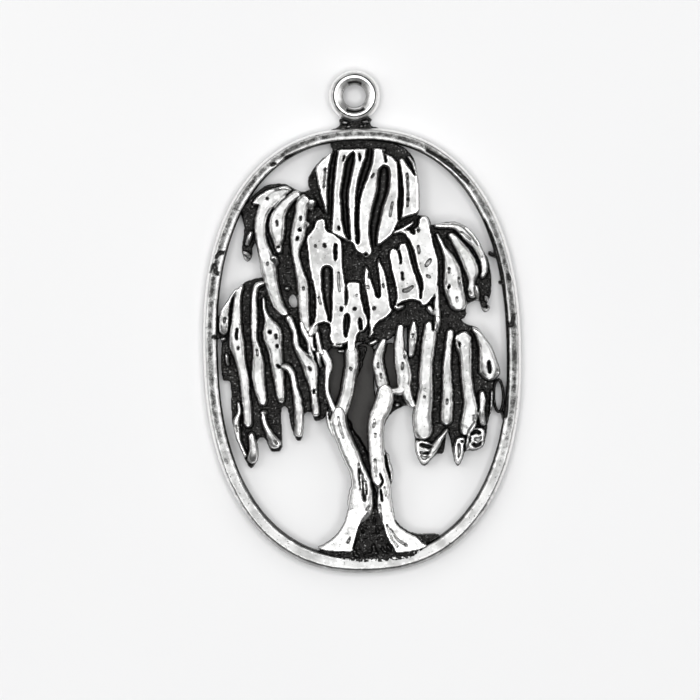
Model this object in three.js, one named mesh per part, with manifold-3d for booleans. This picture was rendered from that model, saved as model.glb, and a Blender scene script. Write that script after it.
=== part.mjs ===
// A cast silver pendant, 38 mm tall: an oval frame with a fixed hanging loop, and inside it a weeping
// willow in high relief. It lies on its flat back at z = 0 with its front facing up.
// Millimetres. +X is to the right, +Y towards the loop, +Z out of the front.

import * as THREE from 'three';
import { mergeVertices } from 'three/addons/utils/BufferGeometryUtils.js';
import Module from 'manifold-3d';

const wasm = await Module();
wasm.setup();
const { Manifold, Mesh } = wasm;

// ---- driving dimensions -------------------------------------------------------------------------

const HEIGHT = 38.0;

// The oval is a superellipse, a little squarer than an ellipse. Its rim is wider at the two ends.
const OVAL = { halfWidth: 12.07, halfHeight: 16.7, squareness: 2.34, steps: 64 };
const RIM = { sideWidth: 1.15, endWidth: 1.35, thickness: 2.1, round: 0.42, roundSteps: 3 };

// The loop is a flattened ring that stands on a short neck.
const LOOP = { centreX: -0.1, outerRadius: 1.95, holeRadius: 0.88, back: 0.25, front: 1.85, sides: 10,
  steps: 32 };
const NECK = { footWidth: 2.7, waistWidth: 2.2, back: 0.3, front: 1.5 };

// Levels of the tree: its back, the recessed ground between strands, and the fronts that stand out.
const BACK = 0.3;
const GROUND = { back: 0.45, front: 1.15 };
const TRUNK_FRONT = 2.7;
const BOUGH_FRONT = 2.2;

// Neighbouring pieces stay this far apart, so each is a solid of its own.
const CLEARANCE = 0.1;

// A strand is widest in the middle. Its width starts from rootShare at its root and tipShare at its tip and
// grows at the rate of taper, and its sides slope out by draft. It is worn flat in front: land is how much of
// its width is flat, and shoulder how far up its sides reach before they round over.
const STRAND = { steps: 7, draft: 0.06, rootShare: 0.5, tipShare: 0.3, taper: 2.5, land: 0.75,
  shoulder: 0.87 };
const LIMB = { sides: 10, steps: 12, flat: -0.5 };

// Limbs run from their upper end down. Each row is x, y and the width there, from the oval's centre.
const TRUNKS = {
  trunk_left: [
    [[-2.0, -4.9, 0.7], [-1.85, -5.9, 1.15], [-1.35, -7.2, 1.3], [-0.75, -9.0, 1.15], [-0.55, -11.0, 1.1],
      [-0.75, -12.6, 1.25], [-1.5, -13.9, 1.4], [-2.4, -14.95, 1.6]],
    [[-0.5, -8.0, 0.35], [0.0, -9.4, 0.45], [0.2, -10.8, 0.4], [-0.1, -12.0, 0.4]],
    [[-1.2, -12.8, 0.9], [-1.95, -14.0, 0.9], [-3.2, -14.85, 0.35]],
  ],
  trunk_right: [
    [[1.65, -3.15, 1.2], [1.5, -4.1, 1.2], [1.0, -5.2, 1.15], [0.88, -6.5, 1.1], [0.9, -8.3, 1.05],
      [1.3, -10.0, 1.0], [1.55, -11.6, 0.85], [1.65, -12.8, 1.0], [2.2, -14.0, 1.1], [3.0, -14.95, 1.2]],
    [[0.9, -8.0, 0.8], [0.88, -9.3, 0.65], [0.85, -10.25, 0.3]],
    [[1.7, -12.8, 0.7], [2.7, -14.1, 0.7], [4.4, -14.85, 0.3]],
    [[1.9, -12.4, 0.5], [2.55, -13.55, 0.4], [4.2, -14.1, 0.6], [5.3, -14.1, 0.3]],
  ],
};

const BOUGHS = {
  bough_left_outer: [[-2.75, 0.0, 0.35], [-2.6, -1.2, 0.5], [-2.65, -2.6, 0.3], [-2.35, -4.6, 0.3]],
  bough_left_inner: [[-0.85, 0.1, 0.7], [-0.9, -1.2, 0.85], [-1.1, -2.8, 0.9], [-1.6, -4.6, 0.9]],
  bough_right_inner: [[1.65, 0.85, 0.35], [1.15, -0.3, 0.5], [1.1, -1.3, 0.65], [1.3, -2.9, 0.8]],
  bough_right_outer: [[2.95, 1.9, 0.4], [2.8, 0.3, 0.85], [2.95, -1.2, 1.05], [3.0, -2.6, 0.95],
    [2.3, -3.2, 0.4]],
  bough_right_spur: [[3.2, -3.15, 0.6], [3.45, -3.7, 0.5], [3.7, -4.4, 0.25]],
};

// A mass of foliage is strands that stand out of a thin backing sheet, whose outline is its ground. Each
// strand is a row: root x, y; tip x, y; width; bow, how far its middle swings out to the right of the way
// down; sway, how far it swings out high up and back low down; flare, its extra width lower down. front is
// the level of the strands at their roots, and droop how far they fall to their tips.
const FOLIAGE = {
  foliage_crown: {
    front: 3.1,
    droop: 0.05,
    ground: [[-3.75, 13.2], [-3.1, 14.2], [-1.9, 15.0], [-1.9, 16], [2.5, 16], [4.2, 15.1], [4.45, 13],
      [4.5, 10.35], [2.9, 9.6], [2.3, 8.5], [0.9, 7.3], [0.3, 7.1], [-0.7, 8.0], [-1.9, 8.9], [-2.6, 10.4],
      [-3.4, 11.9]],
    strands: [
      [-1.95, 15.1, -2.35, 10.4, 0.7, -0.5, 0, 0],
      [-1.0, 15.25, -1.5, 8.5, 0.65, -0.4, 0, 0.3],
      [0.4, 15.25, -0.45, 7.9, 0.6, -0.45, 0, -0.5],
      [1.75, 15.25, 0.5, 7.1, 0.9, -0.5, 0, 0],
      [2.3, 14.9, 1.7, 8.0, 1.05, 0.5, 0.1, 0.8],
      [3.35, 14.55, 3.9, 9.95, 1.1, 0.35, 0, 0.1],
    ],
  },
  foliage_left_shoulder: {
    front: 2.6,
    droop: 0.35,
    ground: [[-3.6, 12.2], [-4.8, 12.45], [-5.6, 12.8], [-7.0, 12.75], [-8.3, 11.6], [-8.9, 10.8],
      [-8.7, 9.4], [-8.9, 7.8], [-8.6, 7.05], [-8.2, 7.3], [-7.9, 8.5], [-7.6, 8.4], [-7.3, 6.8], [-6.9, 4.9],
      [-6.1, 3.2], [-5.2, 2.4], [-4.2, 1.5], [-3.95, 4], [-4.1, 6.5], [-4.1, 9], [-3.3, 10.8]],
    strands: [
      [-7.0, 12.1, -8.1, 11.2, 0.25, -0.1, 0, 0],
      [-5.3, 12.4, -7.4, 8.0, 0.75, -0.85, 0, 0],
      [-7.5, 9.2, -5.6, 2.75, 0.85, -0.35, 0, 0],
      [-4.35, 12.1, -6.15, 7.5, 0.8, -0.9, 0, 0],
      [-3.8, 11.8, -4.2, 1.5, 0.75, -0.7, -0.2, -0.2],
      [-8.15, 9.4, -8.6, 7.3, 0.25, 0, 0, 0],
    ],
  },
  foliage_right_shoulder: {
    front: 2.6,
    droop: 0.35,
    ground: [[5.6, 9.3], [7.0, 9.6], [8.3, 9.0], [9.3, 7.4], [9.75, 6.6], [9.95, 5.4], [9.85, 4.1],
      [9.5, 2.8], [9.2, 2.9], [8.9, 3.6], [8.1, 3.3], [7.8, 2.4], [6.4, 2.3], [6.1, 4.6], [6.15, 6.5]],
    strands: [
      [5.9, 8.8, 7.4, 2.7, 1.1, 0.33, 0, 1.1],
      [6.7, 8.75, 8.45, 3.8, 0.85, 0.7, 0, -0.2],
      [5.7, 9.35, 9.15, 5.2, 0.55, 1.45, 0, 0],
    ],
  },
  foliage_inner_left: {
    front: 2.6,
    droop: 0.1,
    ground: [[-3.2, 10.7], [-2.5, 10.1], [-1.9, 8.7], [-1.35, 8.2], [-1.3, 3], [-1.15, 0.5], [-2.4, 0.3],
      [-3.6, 1.2], [-3.85, 3], [-3.9, 6.5], [-3.8, 9]],
    strands: [
      [-3.25, 9.9, -2.9, 2.0, 0.85, -0.32, 0, -0.3],
      [-2.6, 10.0, -2.5, 6.6, 1.15, 0, 0, 0],
      [-1.6, 8.8, -1.75, 0.5, 0.95, 0.05, 0, 0.8],
    ],
  },
  foliage_centre: {
    front: 2.5,
    droop: 0,
    ground: [[-1.8, 8.6], [-0.6, 7.7], [0.25, 6.9], [0.3, 5], [0.45, 3], [0.4, 1.4], [-0.3, 0.5],
      [-1.05, 0.4], [-1.15, 3], [-1.2, 6]],
    strands: [
      [-0.5, 5.3, -0.75, 0.2, 1.1, 0.2, 0.1, 0],
    ],
  },
  foliage_inner_right: {
    front: 2.6,
    droop: 0.1,
    ground: [[0.4, 6.9], [1.3, 7.6], [2.5, 8.9], [3.0, 9.75], [5.05, 10.05], [5.5, 9.0], [6.0, 6.5],
      [5.95, 4.6], [5.9, 2.5], [4.6, 2.4], [3.2, 2.2], [1.7, 1.1], [0.6, 1.2], [0.55, 3]],
    strands: [
      [0.5, 6.45, 0.72, 1.1, 0.6, 0.1, 0, 0.3],
      [1.45, 7.0, 1.2, 1.9, 0.75, 0.4, 0, 0.8],
      [2.5, 7.75, 2.95, 3.35, 0.8, 0, 0, 0.2],
      [3.2, 8.1, 4.0, 3.6, 0.85, 0.05, 0, 0.3],
      [4.85, 10.05, 4.9, 3.35, 1.4, 0.25, -0.05, 0],
      [5.7, 4.6, 5.7, 1.6, 0.35, 0, 0, 0],
    ],
  },
  foliage_lower_left: {
    front: 2.6,
    droop: 0.35,
    ground: [[-7.1, 5.6], [-8.7, 5.4], [-10.1, 3.9], [-10.7, 3.0], [-11, 2.9], [-11, 1.2], [-10.7, 1.0],
      [-10.7, -1.8], [-10.1, -2.2], [-10.0, -5.2], [-9.3, -7.3], [-8.6, -8.5], [-8.2, -8.0], [-8.15, -6.6],
      [-7.6, -6.4], [-7.1, -7.3], [-6.4, -7.2], [-6.25, -4.3], [-5.8, -4.2], [-5.2, -6.4], [-4.7, -6.3],
      [-4.5, -4.8], [-3.9, -4.7], [-3.3, -5.0], [-2.95, -4.6], [-2.9, -1], [-3.4, 0.2], [-4.0, 1.4],
      [-5.4, 2.8], [-6.7, 4.1]],
    strands: [
      [-9.35, 4.9, -10.5, 1.5, 0.55, -0.35, 0, 0.3],
      [-8.95, 5.2, -8.75, -5.8, 0.7, -0.45, -0.2, 0],
      [-8.65, -5.5, -8.6, -8.5, 0.6, 0.15, 0, 0.4],
      [-9.45, -3.7, -9.0, -7.9, 0.35, -0.4, 0, 0],
      [-7.6, 5.3, -7.55, -4.1, 0.7, -0.5, -0.05, 0.9],
      [-7.65, -4.5, -6.65, -7.35, 0.5, -0.1, 0, 0.8],
      [-7.2, 3.2, -6.15, -3.95, 1.1, 0.1, 0, -0.5],
      [-5.75, -1.0, -4.95, -6.6, 0.55, 0.35, 0, 0.2],
      [-5.6, 2.9, -3.6, -5.0, 0.7, 0.4, 0, 0.3],
    ],
  },
  foliage_lower_right: {
    front: 2.6,
    droop: 0.35,
    ground: [[5.3, 2.4], [7.0, 2.4], [8.0, 1.85], [8.8, 1.5], [9.5, 0.5], [10.1, -0.6], [10.4, -1.9],
      [10.0, -2.4], [9.8, -3.2], [9.7, -4.6], [9.0, -7.3], [8.4, -7.7], [7.7, -7.7], [7.4, -8.5],
      [7.0, -8.8], [6.65, -8.1], [6.3, -6.3], [6.0, -7.7], [5.1, -8.2], [4.55, -8.7], [4.0, -8.3],
      [3.8, -7.2], [3.85, -4.4], [3.6, -3.2], [3.5, 0.5], [3.6, 2.1]],
    strands: [
      [3.95, 2.3, 3.65, -0.7, 0.45, 0.07, 0, 0],
      [5.15, 2.2, 4.55, -7.1, 1.0, -0.1, 0.1, 0.5],
      [5.72, 2.6, 5.45, 1.1, 0.35, 0.1, 0, 0],
      [6.3, -6.0, 4.5, -8.6, 0.35, 0, 0, 0],
      [3.95, -6.8, 4.5, -8.6, 0.25, -0.1, 0, 0],
      [6.7, 1.6, 6.15, -6.0, 0.62, -0.07, 0, 0.4],
      [7.6, 1.5, 7.4, -7.0, 0.85, 0.45, -0.12, 0],
      [7.5, -6.8, 7.0, -8.8, 0.55, -0.05, 0, 0],
      [8.4, 1.5, 9.5, -2.9, 0.95, 0.5, 0, 1.1],
      [8.95, -3.15, 8.95, -6.0, 0.35, 0, 0, 0],
    ],
  },
};

// A small open loop joins the lower right foliage to the frame.
const SIDE_LOOP = { x: 10.25, y: -3.65, halfWidth: 0.5, halfHeight: 1.35, wall: 0.24, steps: 16 };

// The foot between and under the roots.
const FOOT = [[-3.9, -14.9], [-1.2, -14.6], [0.2, -12.3], [0.8, -12.3], [2.2, -14.6], [4.9, -14.9],
  [2.6, -16.4], [-2.2, -16.4]];

const SILVER = { color: 0xd6d4d0, roughness: 0.28, metalness: 1 };
const BLACKENED = { color: 0x2c2a29, roughness: 0.5, metalness: 0.9 };

// ---- solids -------------------------------------------------------------------------------------

function toSolid(geometry) {
  geometry.deleteAttribute('normal');
  geometry.deleteAttribute('uv');
  const merged = mergeVertices(geometry, 1e-4);
  return new Manifold(new Mesh({
    numProp: 3,
    vertProperties: new Float32Array(merged.attributes.position.array),
    triVerts: new Uint32Array(merged.index.array),
  }));
}

function toGeometry(solid) {
  const mesh = solid.getMesh();
  const geometry = new THREE.BufferGeometry();
  geometry.setAttribute('position', new THREE.BufferAttribute(new Float32Array(mesh.vertProperties), 3));
  geometry.setIndex(new THREE.BufferAttribute(new Uint32Array(mesh.triVerts), 1));
  geometry.computeVertexNormals();
  return geometry;
}

function join(solids) {
  return solids.reduce((whole, solid) => whole.add(solid));
}

// Cutting can leave a loose scrap beside the piece. Only the piece itself is kept.
function largestBody(solid) {
  return solid.decompose().reduce((best, body) => (body.volume() > best.volume() ? body : best));
}

function shapeOf(outline, holes = []) {
  const shape = new THREE.Shape(outline.map(([x, y]) => new THREE.Vector2(x, y)));
  shape.holes = holes.map((hole) => new THREE.Path(hole.map(([x, y]) => new THREE.Vector2(x, y))));
  return shape;
}

// A flat plate between two levels. Its bevel grows it on all sides.
function plate(shape, { back, front }, grow) {
  const geometry = new THREE.ExtrudeGeometry(shape, {
    depth: front - back,
    bevelEnabled: grow > 0,
    bevelSize: grow,
    bevelThickness: grow,
    bevelSegments: 1,
  });
  return toSolid(geometry.translate(0, 0, back));
}

function ovalPoints(halfWidth, halfHeight, squareness, steps, x = 0, y = 0) {
  return Array.from({ length: steps }, (_, i) => {
    const angle = (2 * Math.PI * i) / steps;
    const c = Math.cos(angle);
    const s = Math.sin(angle);
    return [
      x + halfWidth * Math.sign(c) * Math.abs(c) ** (2 / squareness),
      y + halfHeight * Math.sign(s) * Math.abs(s) ** (2 / squareness),
    ];
  });
}

// Sections of limbs. Each corner is how far across it lies, from -1 to 1, and how far up, from 0 to 1.
function archSection({ sides, flat }) {
  return Array.from({ length: sides }, (_, i) => {
    const angle = (2 * Math.PI * i) / sides;
    return [Math.sin(angle), (Math.max(flat, Math.cos(angle)) - flat) / (1 - flat)];
  });
}

function landSection({ land, shoulder }) {
  return [[land, 1], [1, shoulder], [1, 0], [-1, 0], [-1, shoulder], [-land, 1]];
}

// A limb is a unit cylinder whose rows of corners are carried along a curve in the plane of the tree, and
// put where the section has them. The middles of its two ends stay half way up.
function limb(pointAt, widthAt, frontAt, section, steps, grow) {
  const geometry = new THREE.CylinderGeometry(1, 1, 1, section.length, steps);
  const position = geometry.attributes.position;
  const middle = [0, 0.5];
  const delta = 1e-3;
  for (let i = 0; i < position.count; i++) {
    const t = 0.5 - position.getY(i);
    const turn = Math.atan2(position.getX(i), position.getZ(i)) / (2 * Math.PI);
    const corner = Math.round((turn + 1) * section.length) % section.length;
    const onEdge = Math.hypot(position.getX(i), position.getZ(i)) > 0.5;
    const [share, rise] = onEdge ? section[corner] : middle;
    const along = pointAt(Math.min(1, t + delta)).sub(pointAt(Math.max(0, t - delta))).normalize();
    const across = share * (widthAt(t) / 2 + grow);
    const here = pointAt(t);
    const depth = frontAt(t) - BACK + 2 * grow;
    position.setXYZ(i, here.x - along.y * across, here.y + along.x * across, BACK - grow + rise * depth);
  }
  return toSolid(geometry);
}

function splineLimb(rows, front, grow) {
  const spline = new THREE.CatmullRomCurve3(rows.map(([x, y, width]) => new THREE.Vector3(x, y, width)));
  const pointAt = (t) => new THREE.Vector2().copy(spline.getPoint(t));
  return limb(pointAt, (t) => spline.getPoint(t).z, () => front, archSection(LIMB), LIMB.steps, grow);
}

// ---- the pieces, each a function of how much it is grown on all sides ----------------------------

function frameSolid(grow) {
  const { halfWidth, halfHeight, squareness, steps } = OVAL;
  const out = grow - RIM.round;
  const outer = ovalPoints(halfWidth + out, halfHeight + out, squareness, steps);
  const innerWidth = halfWidth - RIM.sideWidth - out;
  const innerHeight = halfHeight - RIM.endWidth - out;
  const inner = ovalPoints(innerWidth, innerHeight, squareness, steps);
  const geometry = new THREE.ExtrudeGeometry(shapeOf(outer, [inner]), {
    depth: RIM.thickness + grow,
    bevelThickness: RIM.round,
    bevelSize: RIM.round,
    bevelSegments: RIM.roundSteps,
  });
  geometry.translate(0, 0, -RIM.round);
  const span = 3 * halfHeight;
  const above = new THREE.BoxGeometry(span, span, span).translate(0, 0, span / 2 - grow);
  return toSolid(geometry).intersect(toSolid(above));
}

function loopSolid(grow) {
  const centreY = HEIGHT - OVAL.halfHeight - LOOP.outerRadius;
  const middle = (LOOP.holeRadius + LOOP.outerRadius) / 2;
  const halfWall = (LOOP.outerRadius - LOOP.holeRadius) / 2 + grow;
  const halfDepth = (LOOP.front - LOOP.back) / 2 + grow;
  const section = shapeOf(ovalPoints(halfWall, halfDepth, 2, LOOP.sides, middle)).getPoints();
  const ring = new THREE.LatheGeometry([...section, section[0]], LOOP.steps);
  ring.rotateX(Math.PI / 2).translate(LOOP.centreX, centreY, (LOOP.back + LOOP.front) / 2);
  const neck = shapeOf([
    [-NECK.footWidth / 2, OVAL.halfHeight - RIM.endWidth / 2],
    [NECK.footWidth / 2, OVAL.halfHeight - RIM.endWidth / 2],
    [NECK.waistWidth / 2, centreY - middle],
    [-NECK.waistWidth / 2, centreY - middle],
  ]);
  return toSolid(ring).add(plate(neck, NECK, grow));
}

function trunkSolid(limbs, grow) {
  return join(limbs.map((rows) => splineLimb(rows, TRUNK_FRONT, grow)));
}

function strandPath([rootX, rootY, tipX, tipY, , bow, sway]) {
  const root = new THREE.Vector2(rootX, rootY);
  const run = new THREE.Vector2(tipX, tipY).sub(root);
  const out = new THREE.Vector2(-run.y, run.x).normalize();
  return (t) => {
    const swing = bow * Math.sin(Math.PI * t) + sway * Math.sin(2 * Math.PI * t);
    return root.clone().addScaledVector(run, t).addScaledVector(out, swing);
  };
}

function foliageSolid({ front, droop, ground, strands }, grow) {
  const tubes = strands.map((strand) => {
    const [, , , , width, , , flare] = strand;
    const { rootShare, tipShare, taper } = STRAND;
    const share = (t) => Math.min(1, rootShare + taper * t, tipShare + taper * (1 - t));
    const widthAt = (t) => width * share(t) * (1 + flare * (t - 0.5)) + 2 * STRAND.draft;
    const frontAt = (t) => front - droop * t * t;
    return limb(strandPath(strand), widthAt, frontAt, landSection(STRAND), STRAND.steps, grow);
  });
  return join([plate(shapeOf(ground), GROUND, grow), ...tubes]);
}

function sideLoopSolid(grow) {
  const { x, y, halfWidth, halfHeight, wall, steps } = SIDE_LOOP;
  const outer = ovalPoints(halfWidth, halfHeight, 2, steps, x, y);
  const inner = ovalPoints(halfWidth - wall, halfHeight - wall, 2, steps, x, y);
  return plate(shapeOf(outer, [inner]), GROUND, grow);
}

// ---- assembly -----------------------------------------------------------------------------------

const pendant = new THREE.Group();
const standing = [];

// Each piece in turn is cut clear of those before it, then stands in the way of those after it.
function place(name, build, finish) {
  const solid = standing.reduce((rest, other) => rest.subtract(other), build(0));
  standing.push(build(CLEARANCE));
  const mesh = new THREE.Mesh(toGeometry(largestBody(solid)), new THREE.MeshStandardMaterial(finish));
  mesh.name = name;
  pendant.add(mesh);
}

place('oval_frame', frameSolid, SILVER);
place('hanging_loop', loopSolid, SILVER);
for (const [name, limbs] of Object.entries(TRUNKS)) {
  place(name, (grow) => trunkSolid(limbs, grow), SILVER);
}
for (const [name, rows] of Object.entries(BOUGHS)) {
  place(name, (grow) => splineLimb(rows, BOUGH_FRONT, grow), SILVER);
}
for (const [name, mass] of Object.entries(FOLIAGE)) {
  place(name, (grow) => foliageSolid(mass, grow), SILVER);
}
place('root_foot', (grow) => plate(shapeOf(FOOT), GROUND, grow), BLACKENED);
place('bridge_side_loop', sideLoopSolid, BLACKENED);

// The origin is under the middle of the whole pendant, so the oval's centre sits below it.
pendant.position.y = HEIGHT / 2 - (HEIGHT - OVAL.halfHeight);

export default pendant;
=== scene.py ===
import math

import bmesh
import bpy
from mathutils import Matrix, Vector


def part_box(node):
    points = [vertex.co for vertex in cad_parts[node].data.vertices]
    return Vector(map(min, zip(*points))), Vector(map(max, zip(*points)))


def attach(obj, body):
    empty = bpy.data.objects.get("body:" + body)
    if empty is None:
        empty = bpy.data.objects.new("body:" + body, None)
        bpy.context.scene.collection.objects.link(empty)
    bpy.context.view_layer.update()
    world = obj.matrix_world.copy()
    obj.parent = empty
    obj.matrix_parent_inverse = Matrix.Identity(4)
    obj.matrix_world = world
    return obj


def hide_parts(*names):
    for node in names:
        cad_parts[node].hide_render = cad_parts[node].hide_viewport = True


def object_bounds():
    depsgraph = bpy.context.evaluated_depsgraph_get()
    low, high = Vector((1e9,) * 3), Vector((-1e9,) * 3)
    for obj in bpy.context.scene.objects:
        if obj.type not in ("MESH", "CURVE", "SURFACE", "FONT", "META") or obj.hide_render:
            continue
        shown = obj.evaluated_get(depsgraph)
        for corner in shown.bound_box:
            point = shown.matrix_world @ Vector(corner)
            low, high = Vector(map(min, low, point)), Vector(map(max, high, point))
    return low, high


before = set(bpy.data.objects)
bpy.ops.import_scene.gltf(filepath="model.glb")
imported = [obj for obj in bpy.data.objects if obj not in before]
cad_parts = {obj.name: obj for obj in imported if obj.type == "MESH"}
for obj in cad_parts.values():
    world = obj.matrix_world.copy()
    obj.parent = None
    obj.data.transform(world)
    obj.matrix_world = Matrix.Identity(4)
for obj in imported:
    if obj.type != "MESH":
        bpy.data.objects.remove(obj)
cadLow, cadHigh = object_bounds()
print("frame loaded")

# The rows below are millimetres from the oval's centre, x to the right and y towards the loop.
# Each piece is made in millimetres and set into the frame in metres once its mesh is final.

mm = 0.001
ovalLow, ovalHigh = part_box("oval_frame")
ovalY = (ovalLow.y + ovalHigh.y) / 2 / mm
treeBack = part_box("trunk_left")[0].z / mm
# a broad face sits at this wear and takes the satin tone, painted shade darker than the silver itself
satinWear = 0.72  # the wear of a broad face, with bright edges at 1 and patina at 0


class Wire:
    # one output socket of a node tree: arithmetic on it adds Math nodes

    def __init__(self, tree, socket):
        self.tree = tree
        self.socket = socket

    def maths(self, operation, *values):
        return addNode(self.tree, "ShaderNodeMath", {"operation": operation}, values)

    def also(self, name):
        return Wire(self.tree, self.socket.node.outputs[name])

    def __add__(self, other):
        return self.maths("ADD", self, other)

    def __radd__(self, other):
        return self.maths("ADD", other, self)

    def __sub__(self, other):
        return self.maths("SUBTRACT", self, other)

    def __rsub__(self, other):
        return self.maths("SUBTRACT", other, self)

    def __mul__(self, other):
        return self.maths("MULTIPLY", self, other)

    def __rmul__(self, other):
        return self.maths("MULTIPLY", other, self)

    def __truediv__(self, other):
        return self.maths("DIVIDE", self, other)

    def least(self, other):
        return self.maths("MINIMUM", self, other)

    def most(self, other):
        return self.maths("MAXIMUM", self, other)

    def power(self, other):
        return self.maths("POWER", self, other)

    def ramp(self, low, high):
        # 0 below low, 1 above high and smooth between them
        settings = {"interpolation_type": "SMOOTHSTEP"}
        return addNode(self.tree, "ShaderNodeMapRange", settings, [self, low, high, 0.0, 1.0])


def addNode(tree, kind, settings=None, values=(), output=0):
    node = tree.nodes.new(kind)
    for key, value in (settings or {}).items():
        setattr(node, key, value)
    pairs = values.items() if isinstance(values, dict) else enumerate(values)
    for key, value in pairs:
        if isinstance(value, Wire):
            tree.links.new(value.socket, node.inputs[key])
        else:
            node.inputs[key].default_value = value
    return Wire(tree, node.outputs[output])


def vectorMaths(tree, operation, *values):
    return addNode(tree, "ShaderNodeVectorMath", {"operation": operation}, values)


def scaled(tree, vector, amount):
    settings = {"operation": "SCALE"}
    return addNode(tree, "ShaderNodeVectorMath", settings, {0: vector, "Scale": amount})


def axes(tree, vector):
    x = addNode(tree, "ShaderNodeSeparateXYZ", {}, [vector])
    return x, x.also("Y"), x.also("Z")


def vectorOf(tree, x, y, z):
    return addNode(tree, "ShaderNodeCombineXYZ", {}, [x, y, z])


def noise(tree, place, scale, detail=2.0, output="Fac"):
    values = {"Vector": place, "Scale": scale, "Detail": detail}
    return addNode(tree, "ShaderNodeTexNoise", {}, values, output)


def uneven(tree, place, scale, detail, amount):
    # noise to either side of zero
    return (noise(tree, place, scale, detail) - 0.5) * amount


def shaken(tree, place, scale, detail, amount):
    # a vector of noise, to either side of zero on each axis
    colour = noise(tree, place, scale, detail, "Color")
    return scaled(tree, vectorMaths(tree, "SUBTRACT", colour, (0.5, 0.5, 0.5)), amount)


socketKinds = {
    "geometry": "NodeSocketGeometry",
    "object": "NodeSocketObject",
    "float": "NodeSocketFloat",
    "whole": "NodeSocketInt",
    "vector": "NodeSocketVector",
    "material": "NodeSocketMaterial",
}


def newTree(name, inputs):
    # inputs: a kind, and the names of the sockets of that kind
    tree = bpy.data.node_groups.new(name, "GeometryNodeTree")
    tree.interface.new_socket("Mesh", in_out="OUTPUT", socket_type=socketKinds["geometry"])
    labels = []
    for kind, names in inputs.items():
        for label in names:
            tree.interface.new_socket(label, in_out="INPUT", socket_type=socketKinds[kind])
            labels.append(label)
    entry = tree.nodes.new("NodeGroupInput")
    return tree, {label: Wire(tree, entry.outputs[label]) for label in labels}


def endTree(tree, mesh):
    leave = tree.nodes.new("NodeGroupOutput")
    tree.links.new(mesh.socket, leave.inputs[0])


def endPiece(tree, mesh, scratch, finish):
    # of what was stored on the mesh, only its wear stays: real wear and patina, with painted shade on the
    # web, the broad faces and the oval's foot
    for name in scratch:
        mesh = addNode(tree, "GeometryNodeRemoveAttribute", {}, {"Geometry": mesh, "Name": name})
    mesh = addNode(tree, "GeometryNodeRealizeInstances", {}, [mesh])
    mesh = addNode(tree, "GeometryNodeSetMaterial", {}, {"Geometry": mesh, "Material": finish})
    endTree(tree, mesh)


def stored(tree, name, kind="FLOAT"):
    return addNode(tree, "GeometryNodeInputNamedAttribute", {"data_type": kind}, {"Name": name})


def store(tree, geometry, name, value, kind="FLOAT"):
    settings = {"data_type": kind, "domain": "POINT"}
    values = {"Geometry": geometry, "Name": name, "Value": value}
    return addNode(tree, "GeometryNodeStoreNamedAttribute", settings, values)


def moved(tree, mesh, offset):
    return addNode(tree, "GeometryNodeSetPosition", {}, {"Geometry": mesh, "Offset": offset})


def blurred(tree, value, times):
    return addNode(tree, "GeometryNodeBlurAttribute", {}, {"Value": value, "Iterations": times})


def shapeOf(tree, thing):
    return addNode(tree, "GeometryNodeObjectInfo", {}, {"Object": thing}, "Geometry")


def seededPlace(tree, seed):
    place = addNode(tree, "GeometryNodeInputPosition")
    return place, vectorMaths(tree, "ADD", place, vectorOf(tree, seed, seed, seed))


def smoothCurve(tree, edges, resolution):
    # chains of edges as curves that run smoothly through their points
    curve = addNode(tree, "GeometryNodeMeshToCurve", {}, [edges])
    curve = addNode(tree, "GeometryNodeCurveSplineType", {"spline_type": "CATMULL_ROM"}, {"Curve": curve})
    values = {"Geometry": curve, "Resolution": resolution}
    return addNode(tree, "GeometryNodeSetSplineResolution", {}, values)


def runTree(tree, name, helpers, values):
    # the tree's result as a plain mesh: modifier and helpers are gone before the piece is used
    piece = bpy.data.objects.new(name, bpy.data.meshes.new(name))
    bpy.context.scene.collection.objects.link(piece)
    modifier = piece.modifiers.new("make", "NODES")
    modifier.node_group = tree
    sockets = {item.name: item.identifier for item in tree.interface.items_tree
               if getattr(item, "in_out", "") == "INPUT"}
    for label, value in {**helpers, **values}.items():
        modifier[sockets[label]] = value
    bpy.context.view_layer.update()
    depsgraph = bpy.context.evaluated_depsgraph_get()
    mesh = bpy.data.meshes.new_from_object(piece.evaluated_get(depsgraph), depsgraph=depsgraph)
    piece.modifiers.clear()
    piece.data = mesh
    for helper in helpers.values():
        bpy.data.objects.remove(helper)
    return piece


# Sweeps: a flat section is carried along paths. Each path has a width, and its height is the level
# that the section's rises are counted from.

sweep = {"resolution": 16, "thinnestEnd": 0.03}


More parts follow.
